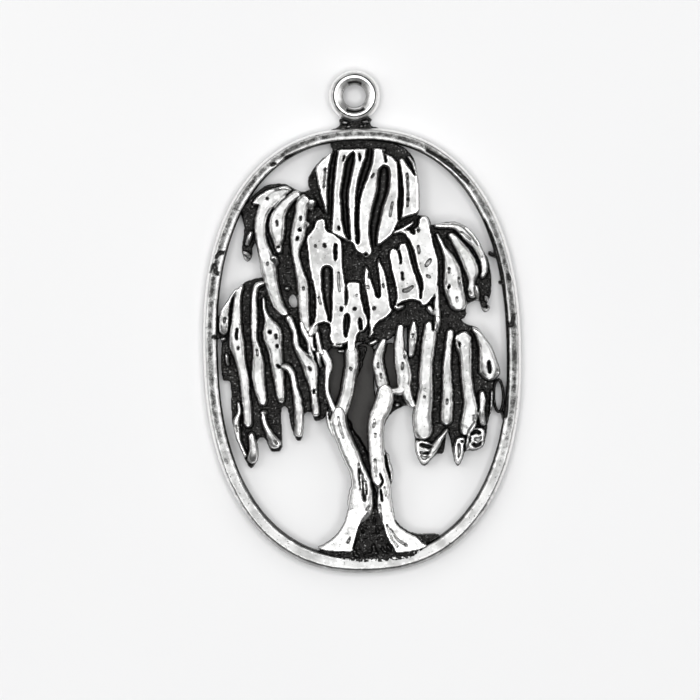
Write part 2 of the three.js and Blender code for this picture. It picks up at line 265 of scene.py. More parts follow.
def buildSweep():
    inputs = {"geometry": ["Paths", "Section"], "float": ["Step", "Floor", "Round Ends"]}
    tree, given = newTree("sweepAlongPaths", inputs)
    curve = smoothCurve(tree, given["Paths"], sweep["resolution"])
    values = {"Curve": curve, "Length": given["Step"]}
    curve = addNode(tree, "GeometryNodeResampleCurve", {"mode": "LENGTH"}, values)
    place = addNode(tree, "GeometryNodeInputPosition")
    tangent = addNode(tree, "GeometryNodeInputTangent")
    half = stored(tree, "width") * 0.5
    done = addNode(tree, "GeometryNodeSplineParameter", output="Length")
    whole = addNode(tree, "GeometryNodeSplineLength", output="Length")
    toEnd = (done.least(whole - done) / half).least(1.0)
    endShare = (1.0 - (1.0 - toEnd).power(2.0)).most(0.0).power(0.5)
    half = half * (1.0 - given["Round Ends"] * (1.0 - endShare)).most(sweep["thinnestEnd"])
    side = vectorMaths(tree, "NORMALIZE", vectorMaths(tree, "CROSS_PRODUCT", tangent, (0.0, 0.0, 1.0)))
    curve = store(tree, curve, "centre", place, "FLOAT_VECTOR")
    curve = store(tree, curve, "side", side, "FLOAT_VECTOR")
    curve = store(tree, curve, "half", half)
    section = addNode(tree, "GeometryNodeMeshToCurve", {}, [given["Section"]])
    across, rise = axes(tree, place)[:2]
    section = store(tree, section, "across", across)
    section = store(tree, section, "rise", rise)
    mesh = addNode(tree, "GeometryNodeCurveToMesh", {}, {"Curve": curve, "Profile Curve": section})
    offset = stored(tree, "across") * stored(tree, "half")
    sideways = scaled(tree, stored(tree, "side", "FLOAT_VECTOR"), offset)
    x, y, level = axes(tree, vectorMaths(tree, "ADD", stored(tree, "centre", "FLOAT_VECTOR"), sideways))
    spot = vectorOf(tree, x, y, (level + stored(tree, "rise")).most(given["Floor"]))
    endTree(tree, addNode(tree, "GeometryNodeSetPosition", {}, {"Geometry": mesh, "Position": spot}))
    return tree


sweepTree = buildSweep()


def sweepAlong(tree, paths, section, step, floor, roundEnds):
    values = {"Paths": paths, "Section": section, "Step": step, "Floor": floor, "Round Ends": roundEnds}
    return addNode(tree, "GeometryNodeGroup", {"node_tree": sweepTree}, values)


def linesObject(name, lines, closed=False):
    # rows of x, y, level and width, each line an open or a closed chain
    mesh = bpy.data.meshes.new(name)
    points, edges, widths = [], [], []
    for rows in lines:
        first = len(points)
        points += [row[:3] for row in rows]
        widths += [row[3] for row in rows]
        edges += [(first + i, first + i + 1) for i in range(len(rows) - 1)]
        if closed:
            edges.append((first + len(rows) - 1, first))
    mesh.from_pydata(points, edges, [])
    attribute = mesh.attributes.new("width", "FLOAT", "POINT")
    attribute.data.foreach_set("value", widths)
    helper = bpy.data.objects.new(name, mesh)
    bpy.context.scene.collection.objects.link(helper)
    return helper


def sectionObject(name, points):
    return linesObject(name, [[(x, y, 0, 1) for x, y in points]])


# A section's heights are from its path's level, and across runs from -1 to 1.

arch = {"steps": 24, "skirt": -6, "roundness": 2.5}
channel = {"steps": 16, "dish": 0.3, "wall": [(1.02, 1.1), (1.12, 1.5), (1.4, 1.72), (1.45, 6)]}


def archSection(shoulder, squareness):
    # flat on top, round at the shoulders and then straight down
    points = [(-1, arch["skirt"])]
    for i in range(arch["steps"] + 1):
        u = math.sin(math.pi * (i / arch["steps"] - 0.5))
        points.append((u, -shoulder * (1 - (1 - abs(u) ** squareness) ** (1 / arch["roundness"]))))
    return points + [(1, arch["skirt"])]


def channelSection():
    # the floor of a groove, whose walls rise clear of everything
    points = [(2 * i / channel["steps"] - 1) for i in range(channel["steps"] + 1)]
    dish = [(u, channel["dish"] * abs(u) ** 3) for u in points]
    return [(-x, y) for x, y in reversed(channel["wall"])] + dish + channel["wall"]


# The cast relief: a fine sheet is laid over swept strands and flat lands, as a mould gives it.

sheetMake = {
    "sweepStep": 0.08,
    "outlineSteps": 8,
    "rayStart": 20.0,  # clear of the sheet, above or below it
    "ungrooved": 9.0,  # a groove's level where there is none
    "groundRough": 0.5,
    "shadeDepth": 0.1,  # how far below the ground a hollow still counts for the wear
    "emptyShare": 0.97,  # of the base's depth, below which the sheet is let go
}
sheetPattern = {"wander": 1.5, "fret": 5.5, "ground": 5.0, "hammer": 1.1, "grain": 5.0}  # to a millimetre
sheetWear = {
    # the heights in millimetres at which each begins and is full
    "edge": (0.02, 0.12),
    "proud": (-0.2, -0.05),
    "clear": (0.3, 0.5),
    "web": (0.05, 0.3),
    "webAndShadeWear": 0.3,  # how far the web's wear lies below the patina's
    "facing": (0.0, 0.08),  # how far a face turns up, as its normal's height
}


def buildRelief():
    inputs = {
        "object": ["Strands", "Lands", "Grooves", "Ground", "Windows", "Web And Shade", "Strand Section",
                   "Groove Section"],
        "vector": ["Middle"],
        "whole": ["Columns", "Rows", "Soften", "Near", "Reach"],
        "float": ["Span X", "Span Y", "Land Level", "Ground Level", "Web And Shade Level", "Base", "Warp", "Fret",
                  "Hammer", "Grain", "Polish", "Seed"],
        "material": ["Finish"],
    }
    tree, given = newTree("castRelief", inputs)
    base = given["Base"]

    def swept(paths, section):
        return sweepAlong(tree, shapeOf(tree, given[paths]), shapeOf(tree, given[section]),
                          sheetMake["sweepStep"], base, 1.0)

    def filled(label):
        curve = smoothCurve(tree, shapeOf(tree, given[label]), sheetMake["outlineSteps"])
        return addNode(tree, "GeometryNodeFillCurve", {}, [curve])

    sheet = addNode(tree, "GeometryNodeMeshGrid", {},
                    [given["Span X"], given["Span Y"], given["Columns"], given["Rows"]])
    sheet = moved(tree, sheet, given["Middle"])
    place, seeded = seededPlace(tree, given["Seed"])
    wander = shaken(tree, seeded, sheetPattern["wander"], 2.0, given["Warp"])
    fret = shaken(tree, seeded, sheetPattern["fret"], 1.0, given["Fret"])
    wander = vectorMaths(tree, "ADD", wander, fret)
    wanderedX, wanderedY = axes(tree, vectorMaths(tree, "ADD", place, wander))[:2]

    def struck(target, direction, missed):
        # whether a ray straight down, or straight up, meets the target, and at what level
        source = vectorOf(tree, wanderedX, wanderedY, -direction * sheetMake["rayStart"])
        values = {"Target Geometry": target, "Source Position": source,
                  "Ray Direction": (0, 0, direction), "Ray Length": 2 * sheetMake["rayStart"]}
        hit = addNode(tree, "GeometryNodeRaycast", {}, values, "Is Hit")
        level = axes(tree, hit.also("Hit Position"))[2]
        return hit, hit * level + (1.0 - hit) * missed

    def covered(label):
        return struck(filled(label), -1.0, base)[0]

    strandLevel = struck(swept("Strands", "Strand Section"), -1.0, base)[1]
    strandLevel = strandLevel.most(covered("Lands") * (given["Land Level"] - base) + base)
    grooveLevel = struck(swept("Grooves", "Groove Section"), 1.0, sheetMake["ungrooved"])[1]
    onGround = covered("Ground") * (1.0 - covered("Windows"))
    rough = uneven(tree, seeded, sheetPattern["ground"], 3.0, sheetMake["groundRough"])
    groundLevel = onGround * (given["Ground Level"] + rough) + (1.0 - onGround) * base
    webAndShadeLevel = covered("Web And Shade") * (given["Web And Shade Level"] - base) + base
    level = strandLevel.most(groundLevel).least(grooveLevel).most(webAndShadeLevel)
    sheet = store(tree, sheet, "level", blurred(tree, level, given["Soften"]))
    level = stored(tree, "level")
    shaded = level.most(given["Ground Level"] - sheetMake["shadeDepth"])
    sheet = store(tree, sheet, "around", blurred(tree, shaded, given["Reach"]))
    sheet = store(tree, sheet, "near", blurred(tree, level, given["Near"]))
    edge = (level - stored(tree, "near")).ramp(*sheetWear["edge"])
    wear = (level - stored(tree, "around")).ramp(*sheetWear["proud"])
    wear = wear * (level - given["Ground Level"]).ramp(*sheetWear["clear"]) * given["Polish"]
    # the web sinks wear below the patina's: partly blackened metal between the boughs, partly painted
    # shade, a dark sheet across the open trunk window
    onWebAndShade = 1.0 - (level - given["Web And Shade Level"]).ramp(*sheetWear["web"])
    # broad faces stay at satinWear and take the satin tone, painted shade darker than the silver; edges
    # go to the bright silver
    wear = wear * (satinWear + (1.0 - satinWear) * edge) - sheetWear["webAndShadeWear"] * onWebAndShade
    sheet = store(tree, sheet, "wear", wear)
    hammered = uneven(tree, seeded, sheetPattern["hammer"], 1.0, given["Hammer"])
    grained = uneven(tree, seeded, sheetPattern["grain"], 1.0, given["Grain"])
    sheet = moved(tree, sheet, vectorOf(tree, 0.0, 0.0, level + hammered + grained))
    facing = axes(tree, addNode(tree, "GeometryNodeInputNormal"))[2].ramp(*sheetWear["facing"])
    sheet = store(tree, sheet, "wear", stored(tree, "wear") * facing)
    empty = addNode(tree, "FunctionNodeCompare", {"operation": "LESS_THAN"},
                    [level, base * sheetMake["emptyShare"]])
    sheet = addNode(tree, "GeometryNodeDeleteGeometry", {"domain": "POINT"},
                    {"Geometry": sheet, "Selection": empty})
    endPiece(tree, sheet, ["level", "around", "near"], given["Finish"])
    return tree


reliefTree = buildRelief()

# A ring is a closed sweep, such as the oval frame, with marks scored into it.

ringMake = {
    "hammer": 1.2,  # patterns, to a millimetre
    "grain": 6.0,
    "markEdge": (0.07, 0.15),
    "barelyWorn": (0.1, 0.3),
}


def buildRing():
    inputs = {
        "object": ["Path", "Section", "Marks"],
        "float": ["Step", "Hammer", "Grain", "Score", "Foot Wear And Shade From", "Foot Wear And Shade To", "Seed"],
        "material": ["Finish"],
    }
    tree, given = newTree("castRing", inputs)
    section = store(tree, shapeOf(tree, given["Section"]), "wear", stored(tree, "width"))
    ring = sweepAlong(tree, shapeOf(tree, given["Path"]), section, given["Step"], 0.0, 0.0)
    place, seeded = seededPlace(tree, given["Seed"])
    # towards the foot of the oval, worn faces go to satinWear: the patina there is partly worn off, and
    # the bright flanks are dulled with painted shade
    bare = 1.0 - axes(tree, place)[1].ramp(given["Foot Wear And Shade From"], given["Foot Wear And Shade To"])
    wear = stored(tree, "wear")
    wear = wear + bare * (satinWear - wear) * wear.ramp(*ringMake["barelyWorn"])
    gap = addNode(tree, "GeometryNodeProximity", {"target_element": "EDGES"},
                  {"Geometry": shapeOf(tree, given["Marks"])}, "Distance")
    scored = 1.0 - gap.ramp(*ringMake["markEdge"])
    ring = store(tree, ring, "wear", wear * (1.0 - scored))
    swell = uneven(tree, seeded, ringMake["hammer"], 2.0, given["Hammer"])
    swell = swell + uneven(tree, seeded, ringMake["grain"], 2.0, given["Grain"]) - scored * given["Score"]
    ring = moved(tree, ring, scaled(tree, addNode(tree, "GeometryNodeInputNormal"), swell))
    endPiece(tree, ring, ["centre", "side", "half", "across", "rise", "width"], given["Finish"])
    return tree


ringTree = buildRing()


def closeBack(shell):
    # cuts the sheet off level with the tree's back and closes it there
    everything = shell.verts[:] + shell.edges[:] + shell.faces[:]
    bmesh.ops.bisect_plane(shell, geom=everything, plane_co=(0, 0, treeBack), plane_no=(0, 0, 1),
                           clear_inner=True)
    edges = [edge for edge in shell.edges if edge.is_boundary]
    for edge in edges:
        edge.smooth = False
    bmesh.ops.triangle_fill(shell, edges=edges, use_beauty=True)
    loose = [corner for corner in shell.verts if not corner.link_faces]
    bmesh.ops.delete(shell, geom=loose, context="VERTS")


def finishPiece(piece, node, isSheet=False):
    # outward faces, and then out of millimetres into its place in the frame
    shell = bmesh.new()
    shell.from_mesh(piece.data)
    for face in shell.faces:
        face.smooth = True
    if isSheet:
        closeBack(shell)
    bmesh.ops.recalc_face_normals(shell, faces=shell.faces)
    shell.to_mesh(piece.data)
    shell.free()
    piece.data.transform(Matrix.Translation((0, ovalY * mm, 0)) @ Matrix.Scale(mm, 4))
    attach(piece, "root")
    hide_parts(node)
    print("made", piece.name, len(piece.data.polygons), "faces")


reliefDefaults = {
    "crest": 2.6,
    "lift": 0.07,  # how unevenly high the strands stand
    "liftTurn": 4.1,
    "droop": 0.4,  # how far each comes down to its tip
    "widen": 1.18,  # a strand's width is its row's, times this and plus the spread
    "spread": 0.08,
    "shoulder": 0.42,
    "squareness": 3.6,
    "grooveShare": 0.84,  # a groove's width as a share of its row's
    "landDrop": 0.05,
    "groundLevel": 1.2,
    "webAndShadeLevel": 0.45,
    "base": -1.0,
    "soften": 2,
    "near": 9,  # blurs that tell an edge and a hollow from a broad face
    "reach": 60,
    "warp": 0.1,  # how far outlines wander, and how far they are fretted
    "fret": 0.09,
    "hammer": 0.1,
    "grain": 0.006,
    "polish": 1.0,
    "seed": 1.0,
    "cell": 0.045,  # the sheet's squares, and its margin round the rows
    "margin": 1.2,
    "strands": [],
    "grooves": [],
    "lands": [],
    "ground": [],
    "windows": [],
    "web": [],
}
aside = [(50, 50, 0, 0.1), (50.2, 50, 0, 0.1), (50, 50.2, 0, 0.1)]  # stands in for an empty shape


def outlines(name, shapes):
    flat = [[(x, y, 0, 1) for x, y in shape] for shape in shapes if shape]
    return linesObject(name, flat or [aside], True)


def reliefPiece(name, node, mass, finish):
    use = {**reliefDefaults, **mass}
    strands = []
    for index, rows in enumerate(use["strands"]):
        crest = use["crest"] + use["lift"] * math.sin(use["liftTurn"] * index + use["seed"])
        strand = []
        for i, (x, y, width) in enumerate(rows):
            level = crest - use["droop"] * (i / (len(rows) - 1)) ** 2
            strand.append((x, y, level, use["widen"] * width + use["spread"]))
        strands.append(strand)
    grooves = [[(x, y, bottom, use["grooveShare"] * width) for x, y, width in rows]
               for bottom, rows in use["grooves"]]
    helpers = {
        "Strands": linesObject("strands", strands or [aside]),
        "Lands": outlines("lands", use["lands"]),
        "Grooves": linesObject("grooves", grooves or [aside]),
        "Ground": outlines("ground", [use["ground"]]),
        "Windows": outlines("windows", use["windows"]),
        "Web And Shade": outlines("web", [use["web"]]),
        "Strand Section": sectionObject("arch", archSection(use["shoulder"], use["squareness"])),
        "Groove Section": sectionObject("channel", channelSection()),
    }
    spots = use["ground"] + use["web"] + [row for rows in strands + use["lands"] for row in rows]
    left, right = min(row[0] for row in spots), max(row[0] for row in spots)
    low, high = min(row[1] for row in spots), max(row[1] for row in spots)
    spanX = right - left + 2 * use["margin"]
    spanY = high - low + 2 * use["margin"]
    values = {
        "Middle": ((right + left) / 2, (high + low) / 2, 0.0),
        "Span X": spanX,
        "Span Y": spanY,
        "Columns": round(spanX / use["cell"]),
        "Rows": round(spanY / use["cell"]),
        "Land Level": use["crest"] - use["landDrop"],
        "Ground Level": use["groundLevel"],
        "Web And Shade Level": use["webAndShadeLevel"],
        "Finish": finish,
    }
    for label in ("Base", "Soften", "Near", "Reach", "Warp", "Fret", "Hammer", "Grain", "Polish", "Seed"):
        values[label] = use[label.lower()]
    piece = runTree(reliefTree, name, helpers, values)
    finishPiece(piece, node, isSheet=True)


ringDefaults = {
    "step": 0.09,
    "hammer": 0.07,
    "grain": 0.02,
    "score": 0.12,
    # below these heights the worn faces turn to the satin tone: patina worn off, and painted shade on the
    # bright flanks
    "patina": (-60.0, -50.0),  # the heights up the oval between which the patina begins
    "seed": 1.0,
    "marks": [],
    "markLevel": 1.72,
    "slot": "silver",
}


def ringPiece(name, node, ring, finish):
    use = {**ringDefaults, **ring}
    marks = [[(x, y, use["markLevel"], 1) for x, y in rows] for rows in use["marks"]]
    helpers = {
        "Path": linesObject("path", [use["path"]], True),
        "Section": linesObject("section", [[(x, y, 0, wear) for x, y, wear in use["section"]]], True),
        "Marks": linesObject("marks", marks or [aside]),
    }
    values = {"Foot Wear And Shade From": use["patina"][0], "Foot Wear And Shade To": use["patina"][1], "Finish": finish}
    for label in ("Step", "Hammer", "Grain", "Score", "Seed"):
        values[label] = use[label.lower()]
    piece = runTree(ringTree, name, helpers, values)
    finishPiece(piece, node)


silverLook = {
    "polished": (0.96, 0.955, 0.945, 1.0),
    # satin and dulled: broad faces painted darker than the silver itself, painted shade for the dim
    # reflection they give; the clouds between them are the metal's own uneven tone
    "satin_shade": (0.36, 0.36, 0.357, 1.0),
    "dulled_satin_shade": (0.24, 0.24, 0.237, 1.0),
    "rubbed": (0.32, 0.318, 0.314, 1.0),
    "patina": (0.023, 0.0225, 0.022, 1.0),
    # the web's colour: partly blackened metal, partly painted shade across open gaps
    "web": (0.035, 0.034, 0.033, 1.0),
    "polishedRoughness": 0.33,
    "patinaRoughness": 0.5,
    "fineRoughness": 0.12,
    # patterns, to a metre
    "clouds": 650.0,
    "blotches": 2600.0,
    "pits": 6500.0,
    "fine": 14000.0,
    # the wear at which one tone gives way to the next, and how ragged that line is
    "webAndShadeToPatina": (-0.3, -0.1),
    "patinaToSatin": (0.28, 0.52),
    "satinToPolished": (0.72, 0.9),
    "ragged": 0.3,
    # how much of each pattern shows
    "cloudy": (0.35, 0.58),
    "pitted": (0.28, 0.36),
    "speckled": (0.56, 0.82),
    "speckledWear": (-0.3, 0.0),
    "pitDepth": 0.8,
    "bump": 0.08,
    "bumpHeight": 0.00002,
}


def newMaterial(name):
    material = bpy.data.materials.new(name)
    material.use_nodes = True
    tree = material.node_tree
    tree.nodes.clear()
    return material, tree


def colourMix(tree, share, first, second):
    settings = {"data_type": "RGBA"}
    return addNode(tree, "ShaderNodeMix", settings, {0: share, 6: first, 7: second}, 2)


def surface(tree, values, fixed):
    shader = addNode(tree, "ShaderNodeBsdfPrincipled", {}, {**fixed, **values})
    output = tree.nodes.new("ShaderNodeOutputMaterial")
    tree.links.new(shader.socket, output.inputs[0])


def silverMaterial():
    # wear runs from below 0 on the web through 0, black patina, and satin to the bright edges at 1; the
    # web is partly painted shade, and the satin and dulled tones are painted shade on broad faces
    look = silverLook
    material, tree = newMaterial("polished_silver")
    place = addNode(tree, "ShaderNodeTexCoord", output="Object")
    wear = addNode(tree, "ShaderNodeAttribute", {"attribute_name": "wear"}, output="Fac")
    ragged = wear + uneven(tree, place, look["blotches"], 3.0, look["ragged"])
    pits = noise(tree, place, look["pits"], 2.0).ramp(*look["pitted"])
    fine = noise(tree, place, look["fine"], 3.0)
    bare = (ragged + (fine - 0.5) * look["ragged"]).ramp(*look["patinaToSatin"])
    bare = bare * (1.0 - look["pitDepth"] + look["pitDepth"] * pits)
    cloud = noise(tree, place, look["clouds"], 3.0).ramp(*look["cloudy"])
    silverTone = colourMix(tree, cloud, look["dulled_satin_shade"], look["satin_shade"])
    silverTone = colourMix(tree, ragged.ramp(*look["satinToPolished"]), silverTone, look["polished"])
    speckle = noise(tree, place, look["pits"], 3.0).ramp(*look["speckled"])
    speckle = speckle * wear.ramp(*look["speckledWear"])
    # the patina, and below it the web's dark colour, which is partly painted shade
    patinaAndShadeTone = colourMix(tree, wear.ramp(*look["webAndShadeToPatina"]), look["web"], look["patina"])
    patinaAndShadeTone = colourMix(tree, speckle, patinaAndShadeTone, look["rubbed"])
    rough = look["patinaRoughness"] + bare * (look["polishedRoughness"] - look["patinaRoughness"])
    values = {"Strength": look["bump"], "Distance": look["bumpHeight"],
              "Height": fine + look["pitDepth"] * pits}
    bump = addNode(tree, "ShaderNodeBump", {}, values)
    surface(tree, {"Base Color": colourMix(tree, bare, patinaAndShadeTone, silverTone),
                   "Roughness": rough + (fine - 0.5) * look["fineRoughness"], "Normal": bump},
            {"Metallic": 1.0})
    return material


silver = silverMaterial()


def ovalPath(halfWidth, halfHeight, widthAt, squareness=2.0, steps=40, x=0.0, y=0.0):
    # a ring's middle line, an ellipse where the squareness is 2; widthAt gets the sine of the angle
    rows = []
    for i in range(steps):
        angle = 2 * math.pi * i / steps
        c, s = math.cos(angle), math.sin(angle)
        rows.append((x + halfWidth * math.copysign(abs(c) ** (2 / squareness), c),
                     y + halfHeight * math.copysign(abs(s) ** (2 / squareness), s), 0.0, widthAt(s)))
    return rows


oval = {
    "halfWidth": (ovalHigh.x - ovalLow.x) / 2 / mm,
    "halfHeight": (ovalHigh.y - ovalLow.y) / 2 / mm,
    "squareness": 2.34,
    "sideWidth": 1.1,
    "topWidth": 0.98,
    "footWidth": 1.25,
    "sideInset": 0.01,
    "endInset": 0.38,
    "shift": 0.12,
    "steps": 96,
}


def rimWidth(s):
    end = oval["topWidth" if s > 0 else "footWidth"]
    return oval["sideWidth"] + (end - oval["sideWidth"]) * s * s


# A section row is: across, from -1 inside to 1 outside; its height; and how bright it is worn there.
rim = {
    "path": ovalPath(halfWidth=oval["halfWidth"] - oval["sideWidth"] / 2 - oval["sideInset"],
                     halfHeight=oval["halfHeight"] - oval["endInset"], widthAt=rimWidth,
                     squareness=oval["squareness"], steps=oval["steps"], y=oval["shift"]),
    "section": [[-1.0, 0.0, 0.0], [-1.0, 0.8, 0.0], [-1.0, 1.3, 0.0], [-0.98, 1.52, 0.05],
                [-0.92, 1.62, 0.1], [-0.82, 1.7, 0.85], [-0.66, 1.75, 0.8], [-0.46, 1.76, 0.72],
                [-0.34, 1.76, 0.4], [-0.1, 1.77, 0.34], [0.15, 1.78, 0.34], [0.36, 1.78, 0.41],
                [0.5, 1.77, 0.75], [0.6, 1.74, 1.0], [0.72, 1.64, 1.0], [0.84, 1.44, 1.0],
                [0.94, 1.1, 1.0], [1.0, 0.6, 0.95], [1.0, 0.0, 0.7]],
    # the foot's worn faces turn to the satin tone: patina worn off, and painted shade dulling the bright
    # flanks
    "patina": (-17.0, -3.0),
    "seed": 41.0,
    "marks": [
        [[-11.4, 6.3], [-11.2, 6.75], [-11.0, 6.8], [-10.95, 6.3], [-10.75, 6.1]],
        [[-10.9, 7.4], [-10.6, 7.7], [-10.3, 7.7]],
        [[10.98, 1.9], [11.1, 1.65], [11.32, 1.65], [11.45, 2.0], [11.55, 2.4]],
        [[-11.2, 1.35], [-11.0, 1.3]],
        [[-5.4, 14.75], [-5.0, 14.85], [-4.6, 15.0]],
        [[-6.45, 14.25], [-6.25, 14.3]],
        [[11.2, 5.5], [11.25, 5.3], [11.35, 5.2]],
        [[5.3, 15.0], [6.3, 14.4], [7.1, 13.8], [8.3, 12.6]],
        [[9.4, 9.62], [9.9, 8.57], [10.27, 7.48], [10.52, 6.5], [10.7, 5.4], [10.83, 4.2], [10.91, 3.0],
         [10.95, 1.4], [10.97, 0.0], [10.95, -1.2], [10.91, -2.4], [10.84, -3.8], [10.72, -5.2]],
    ],
}

loopReach = 1.95  # from the loop's middle to the part's top
loop = {
    "path": ovalPath(halfWidth=1.4, halfHeight=1.4, widthAt=lambda s: 1.06, x=-0.1,
                     y=cadHigh.y / mm - ovalY - loopReach),
    "section": [[-1.0, 0.8, 0.6], [-1.0, 1.3, 0.6], [-0.94, 1.48, 0.9], [-0.8, 1.56, 1.0],
                [-0.4, 1.66, 1.0], [-0.1, 1.73, 1.0], [0.24, 1.8, 0.9], [0.31, 1.74, 0.3],
                [0.36, 1.68, 0.1], [0.41, 1.72, 0.35], [0.52, 1.74, 0.8], [0.75, 1.56, 1.0],
                [0.92, 1.25, 1.0], [1.0, 0.95, 1.0], [0.92, 0.6, 1.0], [0.6, 0.3, 0.9], [0.0, 0.25, 0.8],
                [-0.6, 0.3, 0.6], [-0.92, 0.55, 0.5]],
    "step": 0.07,
    "hammer": 0.08,
    "seed": 43.0,
    "marks": [
        [[-0.45, 20.25], [-0.1, 20.35], [0.35, 20.25]],
        [[-0.65, 18.3], [-0.1, 18.15], [0.55, 18.3]],
    ],
    "markLevel": 1.6,
}

sideLoop = {
    "path": ovalPath(halfWidth=0.36, halfHeight=1.22, widthAt=lambda s: 0.22, steps=24, x=10.25, y=-3.65),
    "section": [[-1, 0.35, 0.1], [-1, 0.95, 0.0], [-0.4, 1.2, 0.1], [0.4, 1.2, 0.1], [1, 0.95, 0.0],
                [1, 0.35, 0.1]],
    "step": 0.06,
    "hammer": 0.06,
    "seed": 45.0,
    "slot": "blackened_silver",
}

neck = {
    "crest": 1.75,
    "droop": 0.0,
    "polish": 0.8,
    "seed": 47.0,
    "hammer": 0.3,
    "groundLevel": 1.1,
    "ground": [[-2.0, 16.75], [-1.45, 17.05], [-1.28, 17.3], [-1.3, 17.6], [-0.9, 17.8], [0, 17.6],
               [0.7, 17.8], [1.15, 17.6], [1.08, 17.3], [1.2, 17.05], [1.7, 16.8], [0, 16.4]],
    "strands": [
        [[-1.1, 17.35, 0.08], [-0.8, 17.3, 0.1], [-0.6, 17.35, 0.08]],
        [[0.4, 17.3, 0.08], [0.7, 17.35, 0.1], [0.9, 17.3, 0.08]],
        [[-0.8, 17.0, 0.12], [-0.4, 17.02, 0.14]],
        [[0.2, 17.0, 0.1], [0.5, 17.05, 0.12]],
    ],
}

# spurs of metal that the casting left standing inside the rim
flash = {
    "crest": 1.6,
    "droop": 0.0,
    "polish": 0.0,
    "seed": 49.0,
    "strands": [
        [[9.8, 7.35, 0.2], [9.95, 7.12, 0.2], [10.3, 6.95, 0.2], [10.75, 6.75, 0.24]],
        [[10.2, 7.0, 0.14], [10.25, 7.5, 0.16], [10.1, 8.2, 0.12]],
        [[10.4, -4.75, 0.14], [10.55, -5.05, 0.16], [10.62, -5.5, 0.14], [10.7, -6.0, 0.12]],
        [[10.4, 4.95, 0.16], [10.6, 4.95, 0.2], [10.8, 4.9, 0.2]],
        [[-10.75, 6.05, 0.12], [-10.8, 6.4, 0.16], [-11.0, 6.75, 0.14]],
        [[-10.3, 7.72, 0.12], [-10.6, 7.65, 0.16], [-10.85, 7.4, 0.12]],
    ],
}

ringPiece("oval_rim", "oval_frame", rim, silver)
ringPiece("loop_ring", "hanging_loop", loop, silver)
ringPiece("side_loop", "bridge_side_loop", sideLoop, silver)
reliefPiece("loop_neck", "hanging_loop", neck, silver)
reliefPiece("rim_flash", "oval_frame", flash, silver)
print("frame and loop done")

# The tree. Strand rows are x, y and width; a groove has its bottom's height and then such rows; a land
# is a broad flat face at the crest; the ground is the rough sheet behind, and its windows are open.

crown = {
    "crest": 3.1,
    "droop": 0.0,
    "seed": 3.0,
    "ground": [[-3.8, 12.7], [-3.7, 13.4], [-3.2, 14.15], [-2.5, 14.8], [-1.9, 15.1], [-1.9, 15.9],
               [0, 16.1], [2.5, 15.8], [3.5, 15.4], [4.1, 14.85], [4.4, 14.2], [4.55, 13.2], [4.65, 12.2],
               [4.65, 11], [4.5, 10.4], [4.0, 9.7], [2.9, 9.4], [2.5, 8.6], [1.9, 8.0], [0.9, 7.2],
               [0.3, 7.0], [-0.7, 8.0], [-1.6, 8.6], [-2.2, 9.4], [-2.7, 10.4], [-3.3, 11.6]],
    "lands": [
        [[-1.75, 15.2], [-2.5, 14.65], [-3.1, 14.0], [-3.1, 13.2], [-2.95, 12.3], [-2.7, 11.3],
         [-2.45, 10.5], [-2.2, 10.4], [-2.1, 9.6], [-2.15, 9.1], [-1.7, 8.75], [-1.0, 8.4], [-0.5, 8.1],
         [-0.3, 7.6], [0.1, 7.3], [0.5, 7.05], [0.9, 7.3], [1.0, 7.9], [1.5, 8.0], [2.1, 8.4], [2.6, 8.9],
         [3.0, 9.7], [3.6, 10.05], [4.5, 10.35], [4.62, 11.2], [4.6, 12.4], [4.5, 13.4], [4.33, 14.0],
         [4.1, 14.4], [3.85, 14.68], [3.6, 14.4], [3.25, 14.5], [3.0, 14.25], [2.6, 14.65], [2.1, 14.95],
         [1.95, 15.25], [0, 15.3]],
    ],
    "grooves": [
        (1.25, [[-1.62, 15.4, 0.3], [-1.68, 15, 0.42], [-1.9, 14, 0.5], [-2.03, 13, 0.56],
                [-2.12, 12, 0.46], [-2.15, 11, 0.42], [-2.2, 10, 0.38], [-2.3, 9.3, 0.42],
                [-2.4, 8.8, 0.3]]),
        (1.25, [[-0.3, 15.0, 0.16], [-0.5, 14.5, 0.6], [-0.65, 14, 0.64], [-0.85, 13, 0.6],
                [-1.05, 12, 0.6], [-1.05, 11, 0.52], [-1.02, 10, 0.56], [-0.9, 9, 0.42],
                [-0.75, 8.4, 0.2]]),
        (1.25, [[1.0, 15.4, 0.5], [0.87, 14.5, 0.56], [0.7, 14, 0.62], [0.35, 13, 0.62], [0.05, 12, 0.42],
                [-0.1, 11, 0.3], [-0.15, 10, 0.3], [-0.16, 9, 0.28], [-0.12, 8.1, 0.24]]),
        (1.25, [[2.0, 13.95, 0.5], [2.0, 13.5, 0.85], [1.93, 12.7, 0.9], [1.83, 12, 0.86],
                [1.5, 11, 0.78], [1.25, 10, 0.8], [1.08, 9, 0.66], [1.08, 8.2, 0.5], [1.15, 7.6, 0.4]]),
        (1.35, [[3.1, 14.3, 0.16], [3.18, 13, 0.28], [3.23, 12, 0.36], [3.15, 11, 0.4], [3.1, 10.4, 0.3],
                [3.05, 9.8, 0.2]]),
        (1.3, [[3.55, 14.7, 0.3], [3.85, 14.15, 0.4], [4.15, 13.6, 0.2], [4.3, 13.2, 0.1]]),
        (2.2, [[1.98, 15.3, 0.12], [2.08, 14.8, 0.16], [2.15, 14.2, 0.14]]),
        (2.5, [[-2.45, 13.9, 0.12], [-2.5, 13.2, 0.16], [-2.58, 12.4, 0.12]]),
        (2.3, [[0.15, 14.9, 0.16], [0.2, 14.4, 0.14]]),
        (2.3, [[-0.98, 14.8, 0.14], [-1.08, 14.4, 0.14]]),
        (2.6, [[3.72, 13.3, 0.1], [3.75, 12.2, 0.12], [3.68, 10.8, 0.1]]),
        (2.7, [[2.6, 11.2, 0.08], [2.45, 10.6, 0.08], [2.35, 10.1, 0.08]]),
        (2.5, [[1.2, 13.4, 0.1], [1.05, 13.05, 0.1]]),
        (2.3, [[-1.55, 9.5, 0.12], [-1.5, 9.2, 0.12]]),
        (2.0, [[0.25, 7.85, 0.22], [0.35, 7.8, 0.22]]),
        (1.9, [[0.3, 7.3, 0.3], [0.6, 7.2, 0.2]]),
    ],
}

